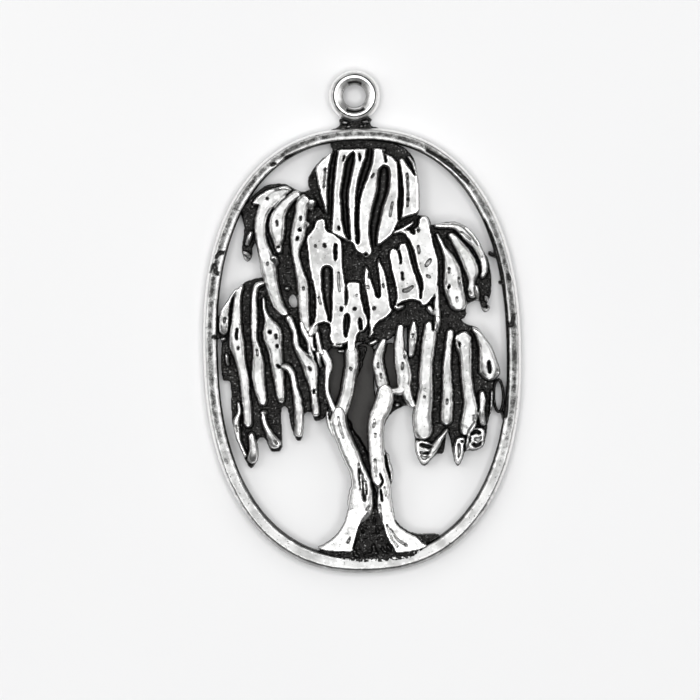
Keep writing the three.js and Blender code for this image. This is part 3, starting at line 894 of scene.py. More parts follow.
leftShoulder = {
    "seed": 5.0,
    "landDrop": 0.12,
    "lands": [[[-8.0, 11.35], [-7.5, 11.95], [-6.9, 12.35], [-6.2, 12.5], [-5.5, 12.45], [-5.05, 12.35],
               [-5.5, 11.85], [-6.1, 11.35], [-6.5, 10.95], [-6.9, 10.95], [-7.4, 11.2]]],
    "ground": [[-8.95, 11.0], [-8.3, 11.7], [-7.0, 12.75], [-5.6, 12.85], [-4.8, 12.45], [-4.2, 12.2],
               [-3.4, 12.4], [-3.1, 11.2], [-3.3, 10.0], [-3.9, 9.0], [-3.8, 7.0], [-3.5, 5.0],
               [-3.6, 3.0], [-3.5, 1.4], [-4.3, 1.3], [-5.0, 2.1], [-6.0, 3.0], [-6.9, 4.8], [-7.3, 6.8],
               [-7.6, 8.4], [-7.85, 8.5], [-8.1, 8.0], [-8.2, 7.3], [-8.6, 7.0], [-8.95, 7.8],
               [-8.75, 9.5]],
    "strands": [
        [[-5.2, 12.45, 0.3], [-5.9, 12.1, 0.75], [-6.7, 11.55, 0.95], [-7.2, 10.8, 0.8],
         [-7.44, 10, 0.74], [-7.5, 9.1, 0.7], [-7.35, 8.2, 0.7], [-7.08, 7.2, 0.9], [-6.9, 6.2, 0.98],
         [-6.74, 5.2, 0.85], [-6.5, 4.3, 0.78], [-6.2, 3.5, 0.66], [-5.6, 2.8, 0.45]],
        [[-4.35, 12.05, 0.5], [-5.0, 11.75, 0.55], [-5.6, 11.2, 0.7], [-6.0, 10.6, 0.88],
         [-6.18, 10, 1.0], [-6.2, 9.3, 1.0], [-6.15, 8.7, 0.75], [-6.15, 8.2, 0.45],
         [-6.1, 7.5, 0.35]],
        [[-3.75, 11.75, 0.7], [-4.2, 11.3, 0.85], [-4.4, 10.4, 0.76], [-4.5, 9.6, 0.9], [-4.7, 8.6, 0.85],
         [-4.85, 7.7, 0.52], [-4.77, 6.9, 0.45], [-4.57, 6, 0.55], [-4.38, 5.2, 0.7], [-4.35, 4.3, 0.7],
         [-4.35, 3.4, 0.65], [-4.3, 2.5, 0.6], [-4.2, 1.5, 0.5]],
        [[-6.9, 12.1, 0.25], [-7.4, 11.8, 0.35], [-8.0, 11.25, 0.2]],
        [[-8.15, 9.3, 0.15], [-8.35, 8.7, 0.25], [-8.55, 8.2, 0.15]],
        [[-8.8, 7.75, 0.12], [-8.5, 7.55, 0.14], [-8.3, 7.3, 0.12]],
        [[-8.75, 7.45, 0.1], [-8.6, 7.2, 0.1], [-8.4, 7.1, 0.1]],
        [[-6.75, 7.3, 0.3], [-6.45, 7.1, 0.34], [-6.35, 6.6, 0.25]],
        [[-3.4, 11.6, 0.6], [-3.6, 11.1, 0.4], [-3.5, 10.7, 0.25]],
        [[-3.9, 9.9, 0.3], [-3.95, 9.4, 0.35]],
        [[-5.75, 4.85, 0.12], [-5.55, 4.9, 0.16], [-5.4, 4.8, 0.12]],
    ],
    "grooves": [
        (1.6, [[-4.45, 9.35, 0.3], [-4.55, 9.2, 0.34]]),
        (2.0, [[-4.65, 8.8, 0.16], [-4.78, 8.5, 0.18]]),
        (2.2, [[-4.4, 10.3, 0.14], [-4.42, 10.0, 0.14]]),
        (2.2, [[-4.3, 4.95, 0.14], [-4.3, 4.7, 0.14]]),
        (2.0, [[-6.85, 11.78, 0.26], [-6.95, 11.65, 0.2]]),
        (2.2, [[-7.0, 6.9, 0.16], [-7.0, 6.6, 0.16]]),
        (2.2, [[-6.2, 10.0, 0.14], [-6.2, 9.6, 0.16]]),
        (2.2, [[-6.3, 12.4, 0.1], [-5.5, 12.45, 0.14], [-5.1, 12.3, 0.14]]),
        (1.6, [[-6.35, 8.0, 0.12], [-6.0, 8.05, 0.14]]),
    ],
    "windows": [[[-5.35, 4.3], [-5.1, 4.4], [-4.85, 3.9], [-4.95, 3.5], [-5.25, 3.5], [-5.45, 3.9]]],
}

rightShoulder = {
    "seed": 7.0,
    "ground": [[5.3, 9.35], [6.0, 9.5], [6.8, 9.65], [7.6, 9.55], [8.4, 9.0], [9.0, 8.1], [9.35, 7.4],
               [9.75, 6.7], [9.95, 5.6], [9.9, 4.2], [9.6, 3.3], [9.5, 2.75], [9.2, 2.85], [8.9, 3.6],
               [8.4, 3.5], [8.0, 3.2], [7.9, 2.4], [7.0, 2.0], [6.0, 1.8], [5.8, 4], [5.85, 6],
               [5.6, 8]],
    "strands": [
        [[5.85, 8.8, 0.12], [6.15, 8.1, 0.22], [6.4, 7.5, 0.3], [6.72, 6.9, 0.6], [6.92, 6.2, 0.95],
         [7.0, 5.5, 1.15], [7.0, 4.9, 1.2], [7.1, 4.3, 1.2], [7.3, 3.6, 1.1], [7.38, 2.8, 1.0]],
        [[6.75, 8.75, 0.25], [7.1, 8.4, 0.45], [7.45, 7.9, 0.6], [7.85, 7.3, 0.75], [8.2, 6.6, 0.88],
         [8.42, 6, 0.88], [8.47, 5.5, 0.7], [8.42, 5.0, 0.38], [8.4, 4.5, 0.5], [8.45, 3.8, 0.48]],
        [[5.7, 9.3, 0.2], [6.5, 9.32, 0.3], [7.2, 9.28, 0.4], [7.8, 8.95, 0.6], [8.3, 8.45, 0.7],
         [8.8, 7.85, 0.52], [9.15, 7.1, 0.46], [9.38, 6.4, 0.4], [9.38, 5.8, 0.36],
         [9.15, 5.25, 0.25]],
        [[8.72, 4.8, 0.14], [8.8, 4.3, 0.25], [8.85, 3.6, 0.16]],
        [[9.2, 3.05, 0.1], [9.45, 2.9, 0.12], [9.7, 3.0, 0.1], [9.6, 3.2, 0.08]],
        [[9.4, 4.0, 0.1], [9.55, 3.5, 0.16]],
    ],
    "grooves": [
        (1.4, [[6.6, 4.72, 0.34], [6.75, 4.66, 0.34]]),
        (1.6, [[7.05, 2.8, 0.24], [7.5, 2.72, 0.3]]),
        (2.2, [[6.7, 6.1, 0.12], [6.72, 5.7, 0.14]]),
        (2.2, [[7.25, 3.9, 0.14], [7.25, 3.5, 0.14]]),
        (2.3, [[6.3, 9.42, 0.07], [7.3, 9.45, 0.09], [7.95, 9.15, 0.1], [8.5, 8.5, 0.1],
               [9.0, 7.75, 0.1]]),
        (2.3, [[7.65, 8.8, 0.1], [8.0, 8.55, 0.12], [8.4, 8.2, 0.12]]),
        (2.3, [[9.2, 6.9, 0.08], [9.42, 6.2, 0.08], [9.35, 5.6, 0.08]]),
        (2.1, [[7.45, 5.4, 0.14], [7.5, 4.9, 0.16]]),
        (1.9, [[8.1, 4.35, 0.12], [8.35, 4.1, 0.14]]),
    ],
}

# cut along the seam between the inner left and the centre, into both
seamGrooves = [
    (1.8, [[-1.12, 4.9, 0.14], [-1.1, 4.2, 0.28], [-1.15, 3.5, 0.16]]),
    (1.3, [[-1.1, 2.85, 0.3], [-1.1, 2.3, 0.5], [-1.2, 1.6, 0.36], [-1.2, 1.1, 0.14]]),
]

innerLeft = {
    "seed": 9.0,
    "droop": 0.2,
    "ground": [[-3.9, 11.2], [-2.9, 11.0], [-2.0, 9.6], [-1.0, 8.8], [-0.9, 5.2], [-1.0, 3], [-1.1, 0.4],
               [-2.3, 0.2], [-2.9, -0.2], [-3.5, 0.0], [-3.9, 0.9], [-4.1, 1.6], [-3.8, 3], [-3.9, 6.5],
               [-4.2, 9]],
    "lands": [
        [[-3.2, 10.0], [-2.6, 10.05], [-2.45, 9.2], [-1.95, 8.95], [-1.55, 8.6], [-1.3, 8.2], [-1.3, 6.6],
         [-1.15, 5.0], [-1.1, 3.5], [-1.0, 2.0], [-1.0, 0.75], [-1.7, 0.55], [-2.25, 0.6], [-2.45, 1.1],
         [-2.42, 2.0], [-2.8, 2.2], [-3.3, 2.1], [-3.7, 1.9], [-3.5, 2.8], [-3.45, 4.0], [-3.55, 5.0],
         [-3.8, 6.0], [-3.95, 7.5], [-4.0, 8.6], [-3.6, 9.2], [-3.4, 9.5]],
    ],
    "strands": [
        [[-3.95, 1.2, 0.4], [-3.7, 1.7, 0.5], [-3.3, 2.1, 0.5]],
        [[-3.35, 1.6, 0.4], [-3.3, 0.9, 0.32], [-3.2, 0.2, 0.32], [-2.9, -0.3, 0.35]],
        [[-3.85, 1.3, 0.35], [-3.8, 0.6, 0.28], [-3.6, 0.0, 0.3]],
        [[-1.9, 0.05, 0.14], [-1.6, 0.0, 0.16], [-1.3, 0.1, 0.12]],
        [[-2.3, 0.55, 0.12], [-1.9, 0.4, 0.14], [-1.4, 0.45, 0.12]],
    ],
    "grooves": [
        (1.25, [[-2.55, 6.5, 0.85], [-2.52, 6.0, 0.95], [-2.52, 5.2, 0.93], [-2.53, 4.4, 0.8],
                [-2.48, 3.5, 0.6], [-2.42, 2.9, 0.38], [-2.38, 2.3, 0.22]]),
        (1.4, [[-1.82, 8.15, 0.2], [-1.85, 7.5, 0.27], [-1.85, 6.95, 0.2]]),
        (1.2, [[-2.85, 2.0, 0.7], [-2.86, 1.3, 0.74], [-2.8, 0.5, 0.5], [-2.7, 0.0, 0.3]]),
        *seamGrooves,
        (2.0, [[-1.55, 3.35, 0.2], [-1.5, 3.1, 0.26]]),
        (2.2, [[-3.4, 8.1, 0.16], [-3.3, 7.95, 0.16]]),
        (2.25, [[-2.7, 8.2, 0.2], [-2.6, 7.9, 0.3]]),
        (2.35, [[-1.62, 6.0, 0.1], [-1.65, 5.2, 0.12], [-1.6, 4.5, 0.12]]),
        (1.5, [[-3.58, 0.95, 0.18], [-3.55, 0.3, 0.2]]),
        (1.6, [[-2.2, 0.3, 0.16], [-1.4, 0.25, 0.2]]),
        (2.2, [[-3.2, 4.2, 0.1], [-3.05, 3.6, 0.12]]),
    ],
}

centre = {
    "seed": 11.0,
    "crest": 2.5,
    "droop": 0.0,
    "ground": [[-1.9, 8.7], [-0.6, 8.2], [0.5, 7.2], [0.6, 5], [0.75, 3], [0.9, 1.6], [1.3, 0.9],
               [0.8, 0.25], [0.2, 0.6], [-0.3, 0.6], [-1.05, 0.3], [-1.3, 3], [-1.4, 6]],
    "lands": [
        [[-1.05, 5.15], [-0.5, 5.25], [-0.08, 5.15], [0.0, 4.2], [0.2, 3.2], [0.45, 2.4], [0.42, 1.9],
         [0.1, 1.5], [-0.25, 1.35], [-0.45, 0.7], [-0.6, 0.0], [-1.1, 0.0], [-1.2, 0.8], [-1.25, 3.0],
         [-1.1, 4.2]],
    ],
    "strands": [
        [[0.45, 0.5, 0.14], [0.8, 0.6, 0.2], [1.2, 0.8, 0.16]],
        [[0.5, 1.0, 0.08], [0.75, 1.3, 0.12], [0.95, 1.6, 0.08]],
    ],
    "grooves": [
        (1.4, [[-0.15, 2.5, 0.2], [-0.1, 2.05, 0.32], [-0.05, 1.6, 0.2]]),
        (2.1, [[-0.6, 3.25, 0.2], [-0.35, 3.15, 0.28]]),
        *seamGrooves,
        (2.25, [[-0.35, 4.3, 0.1], [-0.3, 4.1, 0.1]]),
    ],
}

innerRight = {
    "seed": 13.0,
    "droop": 0.2,
    "ground": [[0.3, 7.3], [1.3, 8.2], [2.3, 9.0], [2.9, 10.0], [5.1, 10.15], [5.6, 8.8], [6.1, 6.5],
               [6.1, 4.0], [6.1, 2.0], [4.6, 1.8], [3.2, 1.6], [1.9, 0.7], [0.7, 0.6], [0.3, 1.2],
               [0.3, 4]],
    "lands": [
        [[0.45, 6.45], [0.65, 6.1], [0.8, 5.4], [1.02, 4.7], [1.18, 4.1], [1.4, 4.05], [1.47, 4.6],
         [1.38, 5.6], [1.3, 6.4], [1.42, 7.0], [1.6, 6.6], [1.85, 6.0], [2.0, 5.2], [2.15, 4.2],
         [2.22, 3.4], [2.35, 3.0], [1.9, 2.5], [1.2, 2.05], [0.85, 1.5], [0.6, 1.2], [0.6, 2.2],
         [0.6, 3.2], [0.4, 4.4], [0.25, 5.3], [0.3, 6.0]],
        [[2.5, 7.75], [2.2, 7.3], [2.3, 6.4], [2.55, 5.2], [2.72, 4.1], [2.6, 3.4], [3.1, 3.6],
         [3.8, 3.75], [4.4, 3.6], [4.6, 3.3], [5.1, 3.5], [5.55, 4.1], [5.8, 4.8], [5.92, 5.8],
         [5.88, 6.8], [5.6, 8.0], [5.42, 9.0], [5.25, 9.8], [4.95, 10.1], [4.6, 9.95], [4.4, 9.3],
         [3.8, 9.1], [3.1, 8.95], [3.5, 8.65], [3.6, 8.2], [3.3, 8.1], [3.0, 7.95], [2.9, 7.6]],
    ],
    "strands": [
        [[4.15, 9.7, 0.14], [3.6, 9.3, 0.2], [3.1, 9.05, 0.22], [2.5, 8.85, 0.16]],
        [[5.7, 4.9, 0.25], [5.72, 4.0, 0.3], [5.72, 3.2, 0.36], [5.75, 2.4, 0.34], [5.7, 1.6, 0.35]],
        [[2.5, 3.4, 0.2], [2.8, 3.2, 0.25], [3.3, 3.35, 0.14]],
        [[5.0, 3.3, 0.3], [5.3, 2.9, 0.3], [5.5, 2.6, 0.2]],
    ],
    "grooves": [
        (1.3, [[3.3, 8.6, 0.3], [3.6, 8.25, 0.36], [3.85, 7.6, 0.42], [4.0, 7, 0.44], [4.22, 6, 0.38],
               [4.42, 5.4, 0.42], [4.55, 4.9, 0.36], [4.55, 4.4, 0.2], [4.5, 3.85, 0.1]]),
        (1.7, [[2.95, 7.6, 0.16], [3.05, 7, 0.18], [3.1, 6.5, 0.12]]),
        (2.1, [[3.15, 5.9, 0.14], [3.2, 5.3, 0.18]]),
        (2.38, [[3.15, 4.45, 0.3], [3.55, 4.55, 0.4], [4.0, 4.8, 0.16]]),
        (2.4, [[5.35, 6.85, 0.3], [5.15, 6.5, 0.42], [4.9, 6.25, 0.25]]),
        (1.5, [[3.95, 9.3, 0.3], [4.05, 8.95, 0.4], [4.15, 8.75, 0.2]]),
        (1.6, [[4.3, 9.95, 0.2], [4.35, 9.5, 0.2]]),
        (2.1, [[4.4, 9.2, 0.2], [4.5, 8.9, 0.26]]),
        (2.25, [[4.4, 7.9, 0.16], [4.5, 7.3, 0.2]]),
        (2.0, [[0.62, 5.9, 0.12], [0.68, 5.5, 0.16]]),
        (2.1, [[0.5, 4.95, 0.14], [0.6, 4.7, 0.16]]),
        (2.15, [[0.95, 3.3, 0.3], [1.0, 3.1, 0.34]]),
        (2.1, [[1.68, 5.0, 0.14], [1.72, 4.75, 0.18]]),
        (1.9, [[5.55, 3.95, 0.16], [5.4, 3.4, 0.2]]),
        (2.2, [[5.0, 5.6, 0.08], [5.3, 5.4, 0.1]]),
    ],
}

lowerLeft = {
    "seed": 15.0,
    "ground": [[-7.1, 5.7], [-7.8, 5.75], [-8.7, 5.5], [-9.4, 4.9], [-10.1, 3.9], [-10.7, 3.0],
               [-11.2, 3.1], [-11.2, 1.2], [-10.7, 1.1], [-10.75, -0.5], [-10.65, -1.9], [-10.1, -2.2],
               [-10.05, -4.0], [-9.95, -5.4], [-9.35, -7.2], [-9.05, -8.2], [-8.6, -8.7], [-8.2, -8.0],
               [-8.15, -6.7], [-7.6, -6.4], [-7.2, -7.3], [-6.8, -7.5], [-6.25, -7.1], [-6.25, -4.4],
               [-5.8, -4.2], [-5.6, -5.4], [-5.25, -6.5], [-4.9, -6.7], [-4.65, -6.2], [-4.55, -4.8],
               [-4.0, -4.6], [-3.75, -5.2], [-3.35, -5.2], [-2.9, -4.9], [-2.6, -3.8], [-2.8, -1],
               [-3.2, 0.0], [-3.9, 1.6], [-4.4, 2.4], [-5.4, 3.3], [-6.6, 4.4]],
    "strands": [
        [[-9.3, 4.95, 0.14], [-9.7, 4.5, 0.16], [-10.05, 3.9, 0.25], [-10.3, 3.3, 0.48],
         [-10.38, 2.6, 0.58], [-10.45, 1.9, 0.55], [-10.6, 1.5, 0.4]],
        [[-8.95, 5.2, 0.2], [-9.3, 4.4, 0.4], [-9.4, 3.5, 0.48], [-9.45, 2.6, 0.6], [-9.5, 1.7, 0.8],
         [-9.48, 0.8, 0.95], [-9.33, 0, 0.75], [-9.13, -1, 0.58], [-8.97, -2, 0.6], [-8.9, -3.2, 0.56],
         [-8.82, -4.4, 0.58], [-8.78, -5.6, 0.5]],
        [[-8.6, -5.9, 0.3], [-8.45, -6.8, 0.42], [-8.45, -7.6, 0.6], [-8.6, -8.3, 0.6]],
        [[-9.5, -3.6, 0.1], [-9.4, -4.3, 0.2], [-9.65, -5.1, 0.3], [-9.6, -6.0, 0.35], [-9.4, -6.8, 0.2],
         [-9.0, -7.8, 0.22]],
        [[-10.3, 0.1, 0.14], [-10.25, -0.4, 0.16], [-10.15, -0.9, 0.12]],
        [[-10.7, 1.15, 0.2], [-10.3, 1.2, 0.14]],
        [[-7.25, 5.35, 0.2], [-7.85, 5.1, 0.32], [-8.08, 4.3, 0.32], [-8.1, 3.2, 0.4], [-8.12, 2.2, 0.42],
         [-8.15, 1.2, 0.36], [-7.95, 0.2, 0.5], [-7.9, -0.8, 0.75], [-7.92, -1.8, 0.8],
         [-7.78, -2.8, 0.7], [-7.62, -3.6, 0.55], [-7.55, -4.0, 0.4]],
        [[-7.85, -4.45, 0.16], [-7.55, -4.5, 0.3], [-7.3, -4.4, 0.14]],
        [[-7.6, -4.6, 0.3], [-7.55, -5.1, 0.3], [-7.3, -5.8, 0.35], [-7.0, -6.4, 0.5],
         [-6.75, -6.9, 0.66], [-6.6, -7.2, 0.4]],
        [[-7.35, 4.3, 0.12], [-7.35, 3.4, 0.2], [-7.1, 2.6, 0.4], [-6.85, 1.9, 1.1], [-6.75, 1.2, 1.2],
         [-6.6, 0.4, 0.95], [-6.5, -0.6, 0.8], [-6.4, -1.5, 0.75], [-6.3, -2.5, 0.6], [-6.25, -3.3, 0.5],
         [-6.15, -3.8, 0.3]],
        [[-6.2, -1.0, 0.45], [-5.7, -1.1, 0.42], [-5.35, -1.6, 0.36], [-5.18, -2.6, 0.36],
         [-5.0, -3.5, 0.5], [-4.9, -4.6, 0.55], [-4.93, -5.6, 0.5], [-4.97, -6.4, 0.4]],
        [[-5.6, 2.85, 0.4], [-5.3, 2.2, 0.34], [-5.05, 1.4, 0.34], [-4.95, 0.5, 0.36], [-4.55, -0.2, 0.6],
         [-4.05, -0.9, 0.9], [-3.9, -1.6, 0.85], [-3.8, -2.4, 0.55], [-3.72, -3.3, 0.4],
         [-3.65, -4.2, 0.45], [-3.6, -4.9, 0.35]],
        [[-4.6, 2.4, 0.25], [-4.3, 1.5, 0.35], [-4.0, 0.8, 0.3], [-3.95, 0.1, 0.28],
         [-3.75, -0.6, 0.35]],
        [[-3.4, 0.1, 0.25], [-3.3, -0.6, 0.2], [-3.15, -1.2, 0.14]],
    ],
    "grooves": [
        (2.1, [[-10.3, 2.75, 0.16], [-10.35, 2.4, 0.18]]),
        (2.0, [[-9.4, 1.9, 0.18], [-9.5, 1.4, 0.2], [-9.45, 1.1, 0.15]]),
        (2.1, [[-9.35, 0.6, 0.12], [-9.4, 0.3, 0.12]]),
        (1.5, [[-8.7, -8.2, 0.4], [-8.55, -8.25, 0.42]]),
        (1.8, [[-8.75, -5.7, 0.16], [-8.7, -6.1, 0.14]]),
        (1.7, [[-7.6, -4.0, 0.3], [-7.45, -4.05, 0.2]]),
        (2.1, [[-7.0, 1.75, 0.25], [-6.9, 1.5, 0.25]]),
        (2.1, [[-6.5, 1.45, 0.15], [-6.45, 1.1, 0.15]]),
        (2.1, [[-6.4, 0.65, 0.18], [-6.4, 0.4, 0.18]]),
        (1.9, [[-6.5, -0.9, 0.16], [-6.2, -1.1, 0.2]]),
        (1.7, [[-6.3, -3.5, 0.2], [-6.1, -3.65, 0.24]]),
        (1.6, [[-5.0, -5.6, 0.2], [-4.85, -5.6, 0.15]]),
        (1.5, [[-4.98, -6.35, 0.3], [-4.88, -6.45, 0.3]]),
        (1.5, [[-3.75, -2.8, 0.2], [-3.7, -3.15, 0.26]]),
        (2.1, [[-4.1, -1.1, 0.16], [-3.9, -1.4, 0.14]]),
        (1.6, [[-3.7, -4.85, 0.16], [-3.5, -4.85, 0.16]]),
        (2.2, [[-7.95, 0.3, 0.1], [-7.9, -0.2, 0.12]]),
        (1.8, [[-6.8, -6.6, 0.14], [-6.6, -6.9, 0.18]]),
        (1.9, [[-9.7, -5.4, 0.12], [-9.6, -5.9, 0.12]]),
    ],
}

lowerRight = {
    "seed": 17.0,
    "widen": 1.26,
    "landDrop": 0.32,
    "lands": [
        [[3.95, -6.9], [3.85, -7.5], [3.98, -8.1], [4.35, -8.6], [4.75, -8.5], [5.05, -8.05],
         [5.35, -7.6], [5.7, -7.1], [5.2, -7.2], [4.6, -6.9]],
        [[6.85, -7.0], [6.75, -7.6], [6.8, -8.3], [7.0, -8.7], [7.25, -8.5], [7.45, -7.9], [7.55, -7.3],
         [7.6, -6.8], [7.2, -6.7]],
        [[7.9, -6.3], [7.75, -7.0], [7.8, -7.5], [8.3, -7.65], [8.9, -7.4], [9.05, -6.9], [9.05, -6.2],
         [8.6, -6.0]],
    ],
    "ground": [[5.2, 2.4], [7.0, 2.5], [8.0, 1.85], [8.8, 1.55], [9.5, 0.5], [10.1, -0.6], [10.45, -1.9],
               [10.1, -2.4], [9.9, -3.0], [9.75, -4.4], [9.4, -5.8], [9.1, -7.3], [8.4, -7.8],
               [7.7, -7.8], [7.4, -8.5], [7.0, -8.9], [6.7, -8.2], [6.5, -7.0], [6.3, -6.2], [6.0, -7.8],
               [5.5, -8.0], [5.1, -8.3], [4.55, -8.85], [4.05, -8.4], [3.8, -7.2], [3.8, -4.4],
               [3.5, -3.6], [3.4, 0.5], [3.6, 2.2]],
    "strands": [
        [[3.95, 2.2, 0.2], [3.93, 1.5, 0.4], [3.86, 0.9, 0.48], [3.78, 0.2, 0.4], [3.66, -0.6, 0.24]],
        [[5.05, 2.15, 0.35], [5.15, 1.3, 0.75], [5.0, 0.2, 0.8], [4.85, -0.9, 0.75], [4.77, -2, 0.8],
         [4.75, -3, 0.85], [4.62, -4, 0.98], [4.42, -5, 1.1], [4.45, -6, 1.12], [4.65, -6.8, 1.2]],
        [[5.72, 2.6, 0.34], [5.75, 1.9, 0.34], [5.45, 1.2, 0.4]],
        [[4.85, -8.2, 0.24], [5.15, -7.7, 0.35], [5.45, -7.2, 0.4], [5.75, -6.75, 0.25],
         [6.1, -6.35, 0.2], [6.3, -6.0, 0.2]],
        [[6.7, 1.5, 0.4], [6.62, 0.8, 0.4], [6.48, -0.2, 0.4], [6.38, -1.2, 0.48], [6.37, -2.2, 0.56],
         [6.38, -3.2, 0.62], [6.33, -4.2, 0.68], [6.27, -5.1, 0.7], [6.18, -5.8, 0.62]],
        [[7.6, 1.3, 0.85], [7.68, 0.7, 0.95], [7.78, -0.1, 0.75], [7.83, -1.1, 0.68], [7.86, -2.1, 0.66],
         [7.93, -3.1, 0.66], [8.06, -4.1, 0.76], [8.05, -5.0, 0.92], [7.8, -5.8, 0.8],
         [7.55, -6.6, 0.55]],
        [[7.2, 1.1, 0.3], [7.3, 0.3, 0.36], [7.5, -0.6, 0.2]],
        [[8.35, 1.5, 0.14], [8.8, 1.1, 0.35], [9.1, 0.5, 0.55], [9.35, -0.2, 0.82], [9.5, -1.1, 1.1],
         [9.58, -1.9, 1.2], [9.5, -2.5, 0.8]],
        [[8.95, -3.2, 0.24], [9.0, -3.9, 0.36], [8.95, -4.6, 0.32], [8.9, -5.2, 0.34],
         [9.0, -5.9, 0.3]],
        [[9.72, -3.2, 0.06], [9.68, -4.2, 0.08], [9.6, -5.0, 0.06]],
        [[8.5, -5.6, 0.14], [8.2, -6.0, 0.14], [7.9, -6.5, 0.14], [7.75, -7.2, 0.14],
         [7.8, -7.7, 0.12]],
    ],
    "grooves": [
        (1.5, [[5.33, 2.4, 0.15], [5.4, 1.9, 0.2], [5.4, 1.45, 0.14]]),
        (2.0, [[7.35, 0.45, 0.15], [7.35, 0.1, 0.15]]),
        (1.2, [[7.65, 1.65, 0.3], [7.75, 1.63, 0.3]]),
        (1.8, [[9.55, -1.0, 0.16], [9.58, -1.5, 0.3], [9.6, -1.9, 0.16]]),
        (2.0, [[10.2, -1.6, 0.14], [10.2, -2.0, 0.16]]),
        (1.6, [[7.3, -6.95, 0.2], [7.5, -7.1, 0.2]]),
        (2.2, [[4.6, -3.5, 0.16], [4.68, -3.7, 0.16]]),
        (2.2, [[6.3, -3.8, 0.12], [6.3, -4.2, 0.14]]),
        (2.1, [[3.87, 1.2, 0.12], [3.83, 0.9, 0.14]]),
        (2.1, [[8.3, -5.0, 0.08], [8.35, -5.6, 0.12]]),
        (1.7, [[4.2, -7.15, 0.2], [4.7, -7.35, 0.34], [5.1, -7.35, 0.16]]),
        (2.1, [[4.2, -8.0, 0.3], [4.5, -8.2, 0.45], [4.75, -8.1, 0.2]]),
        (1.8, [[4.15, -7.75, 0.1], [4.5, -7.85, 0.12], [4.9, -7.8, 0.1]]),
        (1.9, [[7.1, -7.2, 0.16], [7.15, -7.7, 0.24], [7.1, -8.2, 0.16]]),
        (1.6, [[8.0, -6.55, 0.2], [8.4, -6.3, 0.32], [8.75, -6.45, 0.2]]),
        (1.6, [[8.15, -7.2, 0.2], [8.5, -7.4, 0.34], [8.85, -7.1, 0.24]]),
        (2.05, [[8.3, -6.85, 0.24], [8.6, -6.95, 0.3], [8.85, -6.75, 0.2]]),
        (1.8, [[7.95, -6.7, 0.12], [7.97, -7.1, 0.14]]),
    ],
}

masses = {
    "crown": crown,
    "left_shoulder": leftShoulder,
    "right_shoulder": rightShoulder,
    "inner_left": innerLeft,
    "centre": centre,
    "inner_right": innerRight,
    "lower_left": lowerLeft,
    "lower_right": lowerRight,
}

for label, mass in masses.items():
    reliefPiece("strands_" + label, "foliage_" + label, mass, silver)
print("foliage done")

limbShape = {
    "crest": 2.4,
    "lift": 0.0,
    "droop": 0.0,
    "widen": 1.05,
    "shoulder": 0.5,
    "squareness": 3.2,
    "landDrop": 0.0,
    "groundLevel": 0.8,
    "hammer": 0.07,
}
stemShape = {**limbShape, "crest": 2.75, "polish": 1.08}

leftStem = {
    "seed": 21.0,
    "ground": [[-1.6, -5.2], [-1.1, -5.3], [-0.85, -6.0], [-0.35, -6.7], [0.0, -7.4], [0.3, -8.2],
               [0.5, -9.2], [0.7, -10.2], [0.9, -11.0], [0.9, -12.4], [-0.9, -12.4], [-0.9, -9.0],
               [-1.4, -7.0]],
    # painted shade: a dark sheet across the open window between the two limbs, where only shade lies
    "web": [[-0.5, 0.3], [0.7, 0.5], [1.0, -0.5], [0.9, -2.4], [1.0, -3.9], [0.5, -4.8], [0.4, -6.5],
            [0.4, -8.6], [-0.4, -8.6], [-1.2, -7.0], [-1.5, -5.2], [-1.5, -4.2], [-0.9, -2.6]],
    "strands": [
        [[-1.85, -4.1, 0.7], [-1.9, -4.8, 1.05], [-1.95, -5.3, 1.15], [-1.78, -6.0, 1.12],
         [-1.4, -7.0, 1.15], [-1.0, -8.0, 1.2], [-0.75, -8.6, 1.1], [-0.56, -9.1, 1.12],
         [-0.42, -9.6, 1.25], [-0.3, -10.2, 1.42], [-0.36, -10.8, 1.66], [-0.41, -11.5, 1.8],
         [-0.5, -12.1, 1.7], [-0.9, -12.7, 1.2], [-1.2, -13.4, 1.0]],
        [[-2.75, -4.4, 0.14], [-2.75, -5.0, 0.2], [-2.6, -5.7, 0.2], [-2.35, -6.4, 0.14]],
    ],
    "lands": [[[-1.3, -12.0], [-1.5, -12.4], [-1.65, -12.9], [-2.0, -13.5], [-2.5, -14.05], [-3.3, -14.6],
               [-3.7, -14.8], [-3.2, -15.05], [-2.2, -15.15], [-1.1, -15.15], [-0.98, -14.7],
               [-0.85, -14.2], [-0.68, -13.7], [-0.5, -13.2], [-0.35, -12.8], [-0.1, -12.4], [0.1, -12.1],
               [-0.4, -11.8]]],
    "grooves": [
        (2.45, [[-0.46, -8.5, 0.1], [-0.42, -9.1, 0.34], [-0.29, -9.7, 0.5], [-0.15, -10.3, 0.6],
                [-0.13, -10.9, 0.46], [-0.1, -11.35, 0.16]]),
        (2.1, [[-0.5, -8.8, 0.06], [-0.48, -9.7, 0.1], [-0.4, -10.5, 0.1]]),
        (2.15, [[-0.22, -9.3, 0.06], [-0.22, -10.2, 0.1], [-0.16, -11.1, 0.1]]),
        (2.1, [[-0.02, -9.8, 0.06], [0.06, -10.4, 0.1], [0.06, -10.9, 0.08]]),
        (2.2, [[-0.02, -12.0, 0.08], [0.25, -11.8, 0.08]]),
        (2.4, [[-1.3, -14.1, 0.06], [-1.5, -14.5, 0.1]]),
        (2.5, [[-1.95, -4.9, 0.08], [-1.82, -5.6, 0.1], [-1.6, -6.5, 0.08]]),
    ],
}

